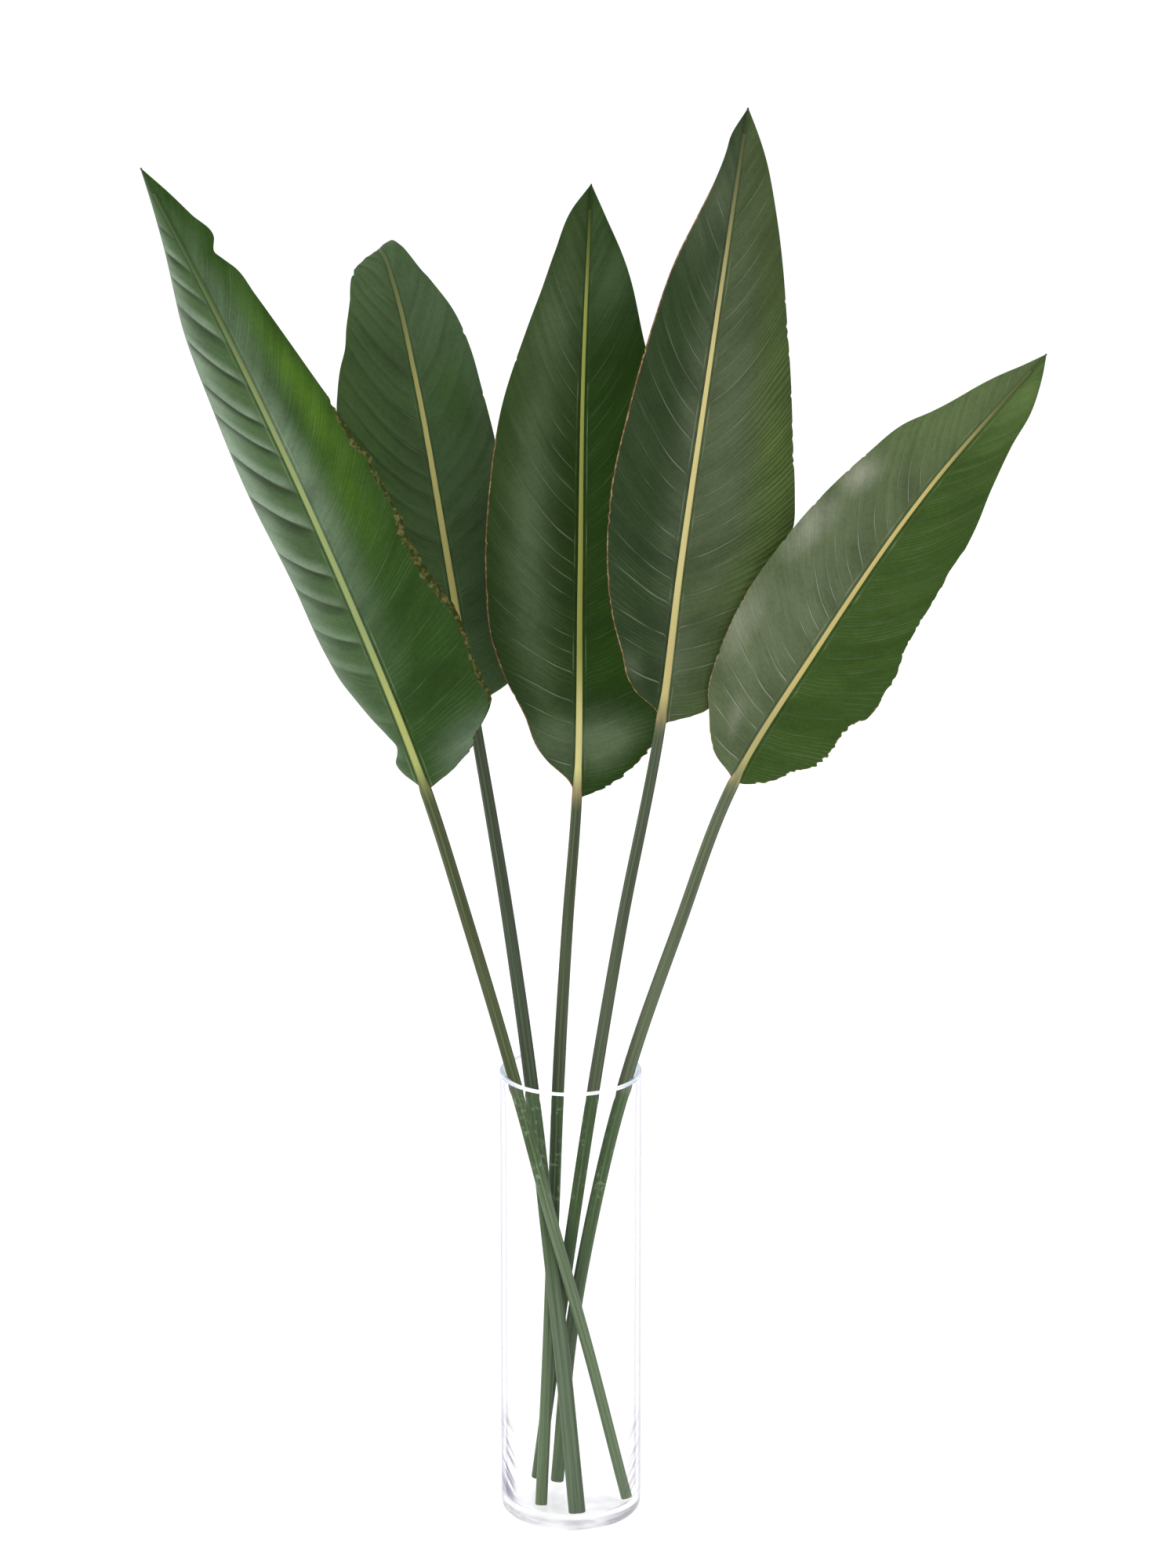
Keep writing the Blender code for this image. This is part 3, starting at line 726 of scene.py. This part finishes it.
def make_vase():
    """The glass cylinder: hollowed from the top, with a thick floor, a round heel and a lip with a
    painted highlight.
    """
    nothing_selected()
    bpy.ops.mesh.primitive_cylinder_add(
        vertices=GLASS_SIDES, radius=VASE_RADIUS_MM * MM, depth=VASE_HEIGHT_MM * MM,
        location=(0.0, 0.0, VASE_HEIGHT_MM * MM / 2), end_fill_type="NGON",
    )
    vase = bpy.context.object
    vase.name = "glass_vase_clear"
    bpy.ops.object.transform_apply(location=True, rotation=True, scale=True)
    inner = VASE_RADIUS_MM - WALL_MM
    hollow_out(vase)
    round_edges(vase, VASE_RADIUS_MM, 0.0, HEEL_MM)
    raise_punt(vase)
    round_edges(vase, inner, FLOOR_MM, INNER_HEEL_MM)
    round_edges(vase, VASE_RADIUS_MM, VASE_HEIGHT_MM, LIP_ROUND_MM)
    round_edges(vase, inner, VASE_HEIGHT_MM, LIP_ROUND_MM)
    cut_rings(vase)
    swell_lip(vase.data)
    bpy.ops.object.shade_smooth_by_angle(angle=CREASE_ANGLE)
    finish_vase(vase.data)
    vase.visible_diffuse = False
    vase.visible_shadow = False
    wear(vase)
    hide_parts("glass_vase")


def through(knots, values, at):
    """Smooth curve through values at knots, read at the given places."""
    knots = np.asarray(knots, float)
    values = np.asarray(values, float)
    slopes = np.gradient(values, knots, axis=0)
    piece = np.clip(np.searchsorted(knots, at, side="right") - 1, 0, len(knots) - 2)
    span = knots[piece + 1] - knots[piece]
    u = (at - knots[piece]) / span
    if values.ndim == 2:
        u = u[:, None]
        span = span[:, None]
    start = (1 + 2 * u) * (1 - u) ** 2 * values[piece] + u * (1 - u) ** 2 * span * slopes[piece]
    end = u**2 * (3 - 2 * u) * values[piece + 1] - u**2 * (1 - u) * span * slopes[piece + 1]
    return start + end


def unit(vectors):
    return vectors / np.linalg.norm(vectors, axis=-1, keepdims=True)


def station_distances(centreline):
    """Distance from the foot to each station."""
    steps = np.linalg.norm(np.diff(np.asarray(centreline, float), axis=0), axis=1)
    return np.concatenate([[0.0], np.cumsum(steps)])


def frames_along(leaf, distances, base_row):
    """The leaf's place, right and front at each distance, carried both ways from the base row."""
    knots = station_distances(leaf["centreline"])
    places = through(knots, leaf["centreline"], distances)
    ahead = through(knots, leaf["centreline"], np.minimum(distances + TANGENT_STEP, knots[-1]))
    behind = through(knots, leaf["centreline"], np.maximum(distances - TANGENT_STEP, 0.0))
    along = unit(ahead - behind)
    front = np.zeros_like(along)
    for rows in (range(base_row, len(along)), range(base_row, -1, -1)):
        carried = np.array(leaf["facing"])
        for row in rows:
            carried = unit(carried - carried.dot(along[row]) * along[row])
            front[row] = carried
    return places, np.cross(along, front), front


def seat_foot(leaf):
    """Sets the foot's height, so that the edge of the cut end stands just clear of the vase's floor."""
    foot = np.array(leaf["centreline"][0], float)
    lean = unit(np.array(leaf["centreline"][1], float) - foot)
    foot[2] = FLOOR_MM + CLEARANCE_MM + leaf["radii"][0] * math.sqrt(1.0 - lean[2] ** 2)
    leaf["centreline"][0] = tuple(foot)


def notches(percent, span, count, depth, reaches, chance):
    """Depth of the notches in a margin at each percent of the blade."""
    notch = np.zeros_like(percent)
    for _ in range(count):
        centre = chance.uniform(*span)
        reach = chance.uniform(*reaches)
        deep = depth * chance.uniform(*BITE_SHARE)
        notch = np.maximum(notch, deep * np.clip(1.0 - ((percent - centre) / reach) ** 2, 0.0, 1.0))
    return notch


def half_section(fold, width, v):
    """Distance from the midrib, and height, of a half blade that bends evenly between two slopes."""
    start, end = np.radians(fold)
    bend = end - start
    across = width * (np.sin(start + bend * v) - math.sin(start)) / bend
    height = width * (math.cos(start) - np.cos(start + bend * v)) / bend
    return across, height


def patches(spots, side, v, percent):
    """Strength of the painted patches at a place across and along one half of the blade."""
    strength = np.zeros_like(percent)
    for spot_side, across, middle, reach, length, most in spots:
        if spot_side == side:
            fall = ((v - across) / reach) ** 2 + ((percent - middle) / length) ** 2
            strength = np.maximum(strength, most * np.exp(-PATCH_FALL * fall))
    return strength


def dryness(margins, side, percent):
    """Reach in mm of the dead brown margin at each percent of one half of the blade."""
    reach = np.zeros_like(percent)
    for margin_side, start, end, most in margins:
        if margin_side == side:
            inside = np.minimum(percent - start, end - percent) / DRY_RAMP + 0.5
            reach = np.maximum(reach, most * np.clip(inside, 0.0, 1.0))
    return reach


def vein_foot(distance, across, length):
    """Where on the midrib the side vein through each place starts: the veins steepen towards the tip."""
    t = np.clip(distance / length, 0.0, 1.0)
    at_base, growth, late_growth = VEIN_SLANT
    slant = at_base + growth * t + late_growth * t**2
    bow = VEIN_BOW + (1.0 - VEIN_BOW) * np.minimum(across / VEIN_BOW_REACH_MM, 1.0)
    turn = np.exp(-np.maximum(across - VEIN_TURN_START_MM, 0.0) / VEIN_TURN_REACH_MM)
    foot = distance - slant * across * bow + VEIN_TURN_MM * turn
    waves = sum(height * np.sin(foot / reach) for height, reach in VEIN_WAVES_MM)
    shiver, shiver_reach = VEIN_SHIVER_MM
    return foot + waves + shiver * np.sin(across / shiver_reach)


def half_width(leaf, look, side, percent, seed):
    """Width of one half of the blade at each percent, with its notches and small tears cut out."""
    outline = np.array(leaf[HALVES[side]])
    width = through(outline[:, 0], outline[:, 1], percent)
    if side > 0:
        width = width - notches(percent, BITE_SPAN, *leaf["bites"], BITE_REACH, random.Random(seed))
    chance = random.Random(10 * seed + side)
    for tear_side, start, end, count, depth in look["nibbles"]:
        if tear_side == side:
            width = width - notches(percent, (start, end), count, depth, NIBBLE_REACH, chance)
    return np.maximum(width, LEAST_HALF_WIDTH)


def crease_lift(vein, v, width, percent, depth):
    """How far the blade bulges between its side veins."""
    pleat = 1.0 - np.abs(2.0 * (vein % 1.0) - 1.0) ** CREASE_SHARPNESS
    rise = min(v / FLAT_BY_MIDRIB, 1.0) * np.clip((width - width * v) / FLAT_BY_MARGIN_MM, 0.0, 1.0)
    rise = rise * np.clip((percent - CREASES_START) / CREASES_GROW, CREASE_LEAST, 1.0)
    return depth * rise * (pleat - CREASE_MIDDLE) * np.minimum(width / RIPPLE_FULL_WIDTH, 1.0)


def blade_fields(leaf, look, seed):
    """The points of the blade's middle surface, and what its finish reads there."""
    knots = station_distances(leaf["centreline"])
    base, tip = knots[BASE_STATION], knots[-1]
    u = np.linspace(0.0, 1.0, BLADE_ROWS + 1)
    crowded = u - ROW_CROWDING * np.sin(2 * np.pi * u) / (2 * np.pi)
    percent = BLADE_START + (100.0 - BLADE_START) * crowded
    distance = (tip - base) * percent / 100.0
    places, right, front = frames_along(leaf, base + distance, 0)
    height, waves = leaf["ripple"]
    widths = {side: half_width(leaf, look, side, percent, seed) for side in HALVES}
    points = np.zeros((BLADE_ROWS + 1, 2 * HALF_COLUMNS + 1, 3))
    fields = {}
    for column in range(2 * HALF_COLUMNS + 1):
        side = 1 if column > HALF_COLUMNS else -1
        v = abs(column - HALF_COLUMNS) / HALF_COLUMNS
        width = widths[side]
        across, lift = half_section(leaf[HALVES[side] + "_fold"], width, v)
        swell = height * v**2 * np.minimum(width / RIPPLE_FULL_WIDTH, 1.0)
        lift = lift + swell * np.sin(2 * np.pi * waves * u + RIPPLE_SHIFT * side + seed)
        veins = look["veins"][0 if side < 0 else 1]
        vein = vein_foot(distance, across, tip - base) / veins[SPACING]
        vein = vein + (RIGHT_VEINS_SHIFT if side > 0 else 0.0)
        lift = lift + crease_lift(vein, v, width, percent, veins[DEPTH])
        points[:, column] = places + side * across[:, None] * right + lift[:, None] * front
        readings = {
            "vein": vein, "across": side * width * v, "inset": width * (1.0 - v), "percent": percent,
            "dry": dryness(look["dry"], side, percent),
        }
        for field in ("painted_sheen", "fresh_and_backlit", "pleats"):
            readings[field] = patches(look[f"{field}_on"], side, v, percent)
        for field, values in readings.items():
            fields.setdefault(field, np.zeros(points.shape[:2]))[:, column] = values
    return points, fields


def darker(tone, share):
    """The colour with each channel at this share of itself."""
    return tuple(share * channel for channel in tone[:3]) + (1.0,)


class VeinPattern:
    """What both sides of a blade share: the side veins, and the fine streaks that run along them."""

    def __init__(self, leaf, look):
        self.leaf = leaf
        self.look = look
        self.across = leaf.read("across")
        vein = leaf.read("vein")
        gap = self.left_to_right(SPACING, self.across.rise(-1.0, 1.0))
        self.run = vein * gap
        self.past = vein.fraction()
        self.line = (abs(self.past - 0.5) * -1.0 + 0.5) * gap
        self.fine = self.streaks(0.8, 0.045, 0.0, 3.0, 0.65)
        self.broad = self.streaks(0.14, 0.03, 4.0, 2.0)
        self.each = leaf.noise(leaf.point(vein.nearest() * 3.7, self.across * 0.05, 9.0), 1.0, 1.0)

    def left_to_right(self, item, on_right):
        """One of the values under veins, from the left half's to the right half's."""
        left, right = (veins[item] for veins in self.look["veins"])
        return left + on_right * (right - left)

    def streaks(self, over_veins, along_veins, layer, detail, roughness=0.5):
        """Noise drawn out along the side veins."""
        place = self.leaf.point(self.run * over_veins, self.across * along_veins, layer)
        return self.leaf.noise(place, 1.0, detail, roughness)


class UpperPattern(VeinPattern):
    """What the upper side's finish reads besides."""

    def __init__(self, leaf, look):
        super().__init__(leaf, look)
        self.inset, self.percent = leaf.read("inset"), leaf.read("percent")
        self.on_right = self.across.rise(-1.5, 1.5)
        self.patch = leaf.mottle(30.0, 3.0, 0.6)
        self.grain = leaf.mottle(420.0, 2.0, 0.6)
        self.band = self.streaks(0.055, 0.02, 21.0, 3.0, 0.6)
        self.comb = leaf.read("pleats")
        self.ridges = (self.run * 2.0 + self.broad * 9.0).sine() * 0.5 + 0.5
        self.drawn = self.left_to_right(DRAWING, self.on_right)


def green_and_sheen(leaf, look, has):
    """Each half's own green, with the fresher green and its painted light through the blade, and the
    painted sheen over it.
    """
    # The two halves' greens differ partly by painted light: the half that faces the softboxes is paler
    # and greyer.
    green = leaf.mix(has.on_right, look["left"], look["right"])
    # Fresher green, partly painted light shining through the thin blade.
    fresh_and_backlit = leaf.read("fresh_and_backlit") * (0.6 + 0.8 * has.broad)
    green = leaf.mix(fresh_and_backlit.smaller(1.0), green, look["fresh_and_backlit"])
    # Painted sheen: grey patches where the softboxes would show in the glossy leaf.
    painted_sheen = leaf.read("painted_sheen") * (0.35 + 0.35 * has.fine + 0.6 * has.band + 0.2 * has.patch)
    return leaf.mix(painted_sheen.smaller(1.0), green, look["painted_sheen"])


def painted_crease_shading(leaf, look, has, green):
    """Painted light just past each side vein, and painted shade towards the next one, standing in for
    the light on the creases.
    """
    depth = has.left_to_right(CREASE_SHADING, has.on_right)
    depth = depth * abs(has.across).rise(0.0, 10.0) * has.inset.rise(0.0, 6.0)
    depth = depth * (0.15 + 0.85 * has.percent.rise(CREASES_START, CREASES_START + CREASES_GROW))
    # Painted light just past each side vein, painted shade towards the next.
    above = has.past.rise(0.4, 0.02) * (0.4 + 1.2 * has.broad)
    green = leaf.mix((above * depth * 0.6).smaller(1.0), green, look["painted_sheen"])
    below = has.past.rise(0.62, 1.0) * (0.3 + 1.4 * has.broad) + has.line.rise(0.9, 0.2) * 0.5
    return leaf.mix((below * depth * 0.58).smaller(0.8), green, SHADE)


def streak(leaf, has, green):
    """Darker streaks and specks, and painted shade between the fine pleats of some stretches."""
    streaks = has.fine.rise(0.58, 0.3) * 0.06 + has.band.rise(0.6, 0.3) * 0.16
    streaks = streaks + has.patch.rise(0.58, 0.3) * 0.1 + has.grain.rise(0.6, 0.35) * 0.09
    green = leaf.mix(streaks, green, SHADE)
    # Painted shade in the troughs of the fine pleats.
    return leaf.mix(has.comb * has.ridges.rise(0.7, 0.1) * 0.5, green, SHADE)


def draw_veins(leaf, look, has, green):
    """The side veins: painted shade along each groove with a painted highlight on its lit edge, and
    hair-thin pale lines between them.
    """
    strength = has.drawn * (0.2 + has.each.rise(0.4, 0.7))
    strength = strength * abs(has.across).rise(2.0, 7.0) * has.inset.rise(0.0, 9.0)
    strength = strength * (0.4 + 0.6 * abs(has.across).rise(40.0, 16.0))
    groove_shade = has.line.rise(0.75, 0.1) * (has.past - 0.5).rise(0.3, -0.3) + has.line.rise(0.4, 0.0) * 0.4
    green = leaf.mix((strength * groove_shade * 0.42).smaller(0.8), green, SHADE)
    lit = has.line.rise(1.1, 0.25) * has.past.rise(0.5, 0.6) * strength
    green = leaf.mix((lit * 0.42).smaller(0.8), green, look["lines"])
    hairs = (has.run * 2.6 + has.fine * 6.0 + has.across * 0.12).sine().rise(0.6, 1.0)
    return leaf.mix(hairs * 0.07 * has.band.rise(0.4, 0.65), green, look["lines"])


def border_midrib(leaf, look, has, green):
    """A shadow on both sides of the midrib, and the pale line of a channel beside it."""
    fade_start, fade_end = look["rib_fade"]
    fade = has.percent.rise(fade_end, fade_start)
    aside = abs(has.across) + 0.018 * has.percent
    green = leaf.mix(aside.rise(4.4, 3.0) * 0.22, green, SHADE)
    channel = abs(aside - 4.6).rise(0.6, 0.1) * (0.1 + has.patch.rise(0.45, 0.65)) * fade
    return leaf.mix(channel * 0.3, green, look["lines"])


def dry_margin(leaf, look, has):
    """How dead the margin is at each place, with a frayed inner edge, and the brown of it."""
    dry_reach = leaf.read("dry")
    frayed = leaf.mottle(240.0, 3.0, 0.65)
    uneven = leaf.mottle(70.0, 2.0).rise(0.25, 0.7)
    reach = dry_reach * (frayed * 1.2 + dry_reach.smaller(2.0) * (uneven - 0.5) * 0.4 + 0.1)
    dead = (has.inset - reach).rise(0.25, -0.1) * dry_reach.rise(0.05, 0.3)
    return dead, leaf.mix(frayed.rise(0.44, 0.66), look["dry_dark"], look["dry_pale"])


def upper_side(name, look):
    """The waxy upper side of one leaf, with painted sheen, and painted light and shade on its creases
    and veins.
    """
    leaf = Finish(f"{name}_upper", IOR=1.45, Specular_IOR_Level=LEAF_SHINE)
    has = UpperPattern(leaf, look)
    green = green_and_sheen(leaf, look, has)
    green = painted_crease_shading(leaf, look, has, green)
    green = streak(leaf, has, green)
    green = draw_veins(leaf, look, has, green)
    green = border_midrib(leaf, look, has, green)
    dead, brown = dry_margin(leaf, look, has)
    green = leaf.mix(dead * 0.9, green, brown)
    gloss = 0.36 + 0.16 * has.fine + 0.1 * has.patch + 0.25 * dead
    relief = has.fine * 0.02 + has.broad * 0.12 + has.patch * 0.25 + has.grain * 0.02
    relief = relief + has.ridges * has.comb * 0.3 - has.line.rise(0.7, 0.0) * has.drawn * 0.12
    return leaf.finish(Base_Color=green, Roughness=gloss.smaller(0.8), Normal=leaf.bump(relief, 0.9))


def under_side(name, look):
    """The paler, duller underside, where the side veins stand out."""
    leaf = Finish(f"{name}_under", IOR=1.4, Specular_IOR_Level=LEAF_SHINE)
    has = VeinPattern(leaf, look)
    patch = leaf.mottle(20.0, 3.0)
    green = leaf.mix(has.fine * 0.5 + patch * 0.4, UNDERSIDE, darker(UNDERSIDE, 0.62))
    raised = has.line.rise(0.9, 0.1) * has.each.rise(0.25, 0.6)
    green = leaf.mix(raised * 0.5, green, UNDERSIDE_VEIN)
    near = (abs(has.across) - 3.2).rise(2.0, 0.0)
    green = leaf.mix(near * 0.6, green, UNDERSIDE_VEIN)
    relief = has.fine * 0.06 + has.broad * 0.15 + has.line.rise(1.0, 0.0) * 0.2
    return leaf.finish(Base_Color=green, Roughness=0.5 + 0.15 * has.fine, Normal=leaf.bump(relief, 0.9))


def blade_edge(name, look):
    """The thin rim between the two sides: green, with a line of dry tan where the leaf has one."""
    rim = Finish(f"{name}_edge", Specular_IOR_Level=LEAF_SHINE)
    frayed = rim.mottle(90.0, 3.0, 0.6)
    mask = rim.read("dry").rise(0.1, 0.5)
    dry = rim.mix(frayed.rise(0.5, 0.75) * 0.7, look["dry_dark"], look["dry_pale"])
    tone = rim.mix(mask, rim.mix(frayed, look["left"], look["right"]), dry)
    return rim.finish(Base_Color=tone, Roughness=0.6 + 0.2 * frayed, Normal=rim.bump(frayed * 0.2))


def points_of(mesh):
    """The mesh's points, one row for each."""
    flat = np.empty(3 * len(mesh.vertices))
    mesh.vertices.foreach_get("co", flat)
    return flat.reshape(-1, 3)


def store(mesh, field, values):
    """Keeps a number at each point, for the finish to read."""
    mesh.attributes.new(field, "FLOAT", "POINT").data.foreach_set("value", values)


def make_blade(name, leaf, look, seed):
    """The blade: a fine grid laid on the leaf's surface, then given its thickness."""
    points, fields = blade_fields(leaf, look, seed)
    columns = 2 * HALF_COLUMNS
    nothing_selected()
    bpy.ops.mesh.primitive_grid_add(x_subdivisions=BLADE_ROWS, y_subdivisions=columns, size=1.0)
    blade = bpy.context.object
    blade.name = f"{name}_blade"
    mesh = blade.data
    flat = points_of(mesh)
    row = np.rint((flat[:, 0] + 0.5) * BLADE_ROWS).astype(int)
    column = np.rint((0.5 - flat[:, 1]) * columns).astype(int)
    mesh.vertices.foreach_set("co", (points[row, column] * MM).ravel())
    for field, values in fields.items():
        store(mesh, field, values[row, column])
    for finish in (upper_side(name, look), under_side(name, look), blade_edge(name, look)):
        mesh.materials.append(finish)
    thicken = blade.modifiers.new("thickness", "SOLIDIFY")
    thicken.thickness = BLADE_THICKNESS_MM * MM
    thicken.offset = 0.0
    thicken.material_offset = 1
    thicken.material_offset_rim = 2
    bpy.ops.object.modifier_apply(modifier="thickness")
    bpy.ops.object.shade_smooth_by_angle(angle=CREASE_ANGLE)
    wear(blade)
    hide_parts(name)


class StalkPattern:
    """What a stalk's finish reads from its mesh, and the ridges and threads that run along it."""

    def __init__(self, skin):
        self.around_x, self.around_y = skin.read("around_x"), skin.read("around_y")
        self.length, self.rib, self.percent = skin.read("length"), skin.read("rib"), skin.read("percent")
        x, y, length = self.around_x, self.around_y, self.length
        self.ridge = skin.noise(skin.point(x * 3.2, y * 3.2, length * 0.006), 1.0, 3.0, 0.6)
        self.thread = skin.noise(skin.point(x * 9.0, y * 9.0, length * 0.02), 1.0, 2.0, 0.6)
        self.patch = skin.mottle(40.0, 3.0, 0.6)


def height_seen(skin):
    """The height in mm on the vase's front wall, at which a place inside it is seen."""
    place = skin.add("ShaderNodeSeparateXYZ", {}, {"Vector": skin.place()})
    up, back = (Number(skin, place.outputs[axis]) for axis in "ZY")
    return (up + back * SIGHT_SLOPE) / MM + SIGHT_SHIFT_MM


def petiole_green(skin, look, has):
    """The stalk below the blade: greener where seen through the glass, paler at its foot, with pale
    specks, set by the height at which each place is seen on the front wall, so that its look through the
    glass is painted on.
    """
    height = height_seen(skin)
    # The stalk's look through the glass, painted on by the height at which it is seen on the front wall.
    green = skin.mix(height.rise(*RIM_SEEN_MM), look["stalk"], look["stalk_behind_glass"])
    green = skin.mix(height.rise(*look["behind_glass_fade"]), green, look["stalk_low"])
    green = skin.mix(has.ridge.rise(0.6, 0.36) * 0.42, green, SHADE)
    pale = has.ridge.rise(0.56, 0.72) * 0.5 + has.thread.rise(0.55, 0.75) * 0.2
    specks = skin.mottle(300.0, 3.0, 0.7).rise(0.54, 0.62) * has.patch.rise(0.38, 0.5)
    pale = pale.larger(specks * height.rise(*SPECKS_FOOT_MM) * height.rise(*SPECKS_TOP_MM) * 0.9)
    return skin.mix(pale, green, darker(look["stalk_low"], 1.35))


def midrib_straw(skin, look, has):
    """The midrib: a straw yellow ridge that fades to the blade's green, and a green keel behind."""
    straw = skin.mix(has.percent.rise(26.0, 11.0), look["rib"], look["rib_low"])
    straw = skin.mix(has.thread * 0.4 + has.patch * 0.15, straw, darker(look["rib"], 0.72))
    straw = skin.mix(abs(has.around_x).rise(0.5, 0.95) * 0.75, straw, look["fresh_and_backlit"])
    fade_start, fade_end = look["rib_fade"]
    top = abs(has.around_x).rise(1.0, 0.8) * (0.06 + 0.94 * has.percent.rise(fade_end, fade_start))
    beside = skin.mix((has.around_x * -1.0).rise(-0.3, 0.3), look["right"], look["left"])
    midrib = skin.mix(top, skin.mix(has.patch * 0.5, beside, SHADE), straw)
    keel = skin.mix(has.thread * 0.6 + has.patch * 0.3, UNDERSIDE_VEIN, darker(UNDERSIDE, 0.8))
    return skin.mix(has.around_y.rise(0.1, -0.3), midrib, keel)


def stalk_finish(name, look):
    """Petiole and midrib: green with lengthwise ridges, turning to straw yellow on the blade."""
    skin = Finish(f"{name}_stalk_skin", IOR=1.45, Specular_IOR_Level=STALK_SHINE)
    has = StalkPattern(skin)
    tone = skin.mix(has.rib, petiole_green(skin, look, has), midrib_straw(skin, look, has))
    turn = has.rib - 0.35
    brown = turn.rise(-0.3, 0.0) * turn.rise(0.3, 0.0) * abs(has.around_x).rise(0.2, 0.8)
    tone = skin.mix(brown * 0.8, tone, look["dry_pale"])
    relief = has.ridge * 0.3 + has.thread * 0.08
    gloss = 0.36 + 0.15 * has.thread
    return skin.finish(Base_Color=tone, Roughness=gloss, Normal=skin.bump(relief, 0.8))


def cut_finish(name):
    """The cut end of a stalk: pale fibres, stained brown in places."""
    cut = Finish(f"{name}_cut_end", Roughness=0.7)
    fibres = cut.mottle(900.0, 2.0, 0.7)
    stain = cut.mottle(260.0, 2.0)
    tone = cut.mix(fibres.rise(0.4, 0.65) * 0.6 + stain * 0.4, CUT_FIBRE, CUT_RIM)
    return cut.finish(Base_Color=tone, Normal=cut.bump(fibres * 0.3))


def ringed_cylinder(name, rings):
    """A unit cylinder cut into equal rings, from which a stalk is shaped."""
    nothing_selected()
    bpy.ops.mesh.primitive_cylinder_add(
        vertices=STALK_SIDES, radius=1.0, depth=1.0, location=(0.0, 0.0, 0.0), end_fill_type="NGON"
    )
    cylinder = bpy.context.object
    cylinder.name = name
    for parts in (rings // RINGS_TO_A_BAND, RINGS_TO_A_BAND):
        pick_edges(cylinder, lambda first, second: abs(first.z - second.z) > 1e-3)
        bpy.ops.mesh.subdivide(number_cuts=parts - 1)
        bpy.ops.object.mode_set(mode="OBJECT")
    return cylinder


def stalk_radii(leaf, look, distances, base, end):
    """Radius of the stalk, and of the midrib that carries on from it, at each distance."""
    knots = station_distances(leaf["centreline"])[: BASE_STATION + 1]
    heights = [station[2] for station in leaf["centreline"][: BASE_STATION + 1]]
    rim = np.interp(VASE_HEIGHT_MM, heights, knots)
    foot_radius, rim_radius, base_radius = leaf["radii"]
    return np.interp(
        distances,
        [0.0, rim, base, base + BASE_TAPER_LENGTH, end],
        [foot_radius, rim_radius, base_radius, look["rib_width"] * base_radius, MIDRIB_TIP_RADIUS],
    )


def make_stalk(name, leaf, look):
    """Stalk and midrib: a cylinder cut into rings, each laid on the leaf's centreline."""
    knots = station_distances(leaf["centreline"])
    base, tip = knots[BASE_STATION], knots[-1]
    end = base + (tip - base) * MIDRIB_END / 100.0
    distances = np.concatenate(
        [np.linspace(0.0, base, PETIOLE_RINGS + 1)[:-1], np.linspace(base, end, MIDRIB_RINGS + 1)]
    )
    radii = stalk_radii(leaf, look, distances, base, end)
    places, right, front = frames_along(leaf, distances, PETIOLE_RINGS)
    rings = PETIOLE_RINGS + MIDRIB_RINGS
    stalk = ringed_cylinder(f"{name}_stalk", rings)
    mesh = stalk.data
    flat = points_of(mesh)
    row = np.rint((flat[:, 2] + 0.5) * rings).astype(int)
    angle = np.arctan2(flat[:, 1], -flat[:, 0])
    radius = radii[row]
    across, forward = radius * np.cos(angle), radius * np.sin(angle)
    rib = np.clip((distances[row] - base + MIDRIB_START_MM) / MIDRIB_GROW_MM, 0.0, 1.0)
    flatter = np.maximum(MIDRIB_FRONT, MIDRIB_LEAST_FRONT / radius)
    flatter = np.where(forward > 0, 1.0 + rib * (flatter - 1.0), 1.0)
    groove = (1.0 - rib) * GROOVE_DEPTH * radius * np.maximum(0.0, np.sin(angle)) ** GROOVE_SHARPNESS
    forward = forward * flatter - groove
    spots = places[row] + across[:, None] * right[row] + forward[:, None] * front[row]
    mesh.vertices.foreach_set("co", (spots * MM).ravel())
    store(mesh, "around_x", np.cos(angle))
    store(mesh, "around_y", np.sin(angle))
    store(mesh, "length", distances[row])
    store(mesh, "rib", rib)
    store(mesh, "percent", np.clip(100.0 * (distances[row] - base) / (tip - base), 0.0, 100.0))
    mesh.materials.append(stalk_finish(name, look))
    mesh.materials.append(cut_finish(name))
    for face in mesh.polygons:
        if len(face.vertices) == STALK_SIDES and row[face.vertices[0]] == 0:
            face.material_index = 1
    in_edit_mode(stalk, "FACE")
    bpy.ops.mesh.select_all(action="SELECT")
    bpy.ops.mesh.normals_make_consistent(inside=False)
    bpy.ops.object.mode_set(mode="OBJECT")
    bpy.ops.object.shade_smooth_by_angle(angle=CREASE_ANGLE)
    wear(stalk)


def make_leaves():
    for order, name in enumerate(LEAVES):
        leaf, look = LEAVES[name], USUAL_LOOK | LOOKS[name]
        seat_foot(leaf)
        make_blade(name, leaf, look, seed=order + 1)
        make_stalk(name, leaf, look)


place_camera()
light_studio()
lay_floor()
make_vase()
make_leaves()
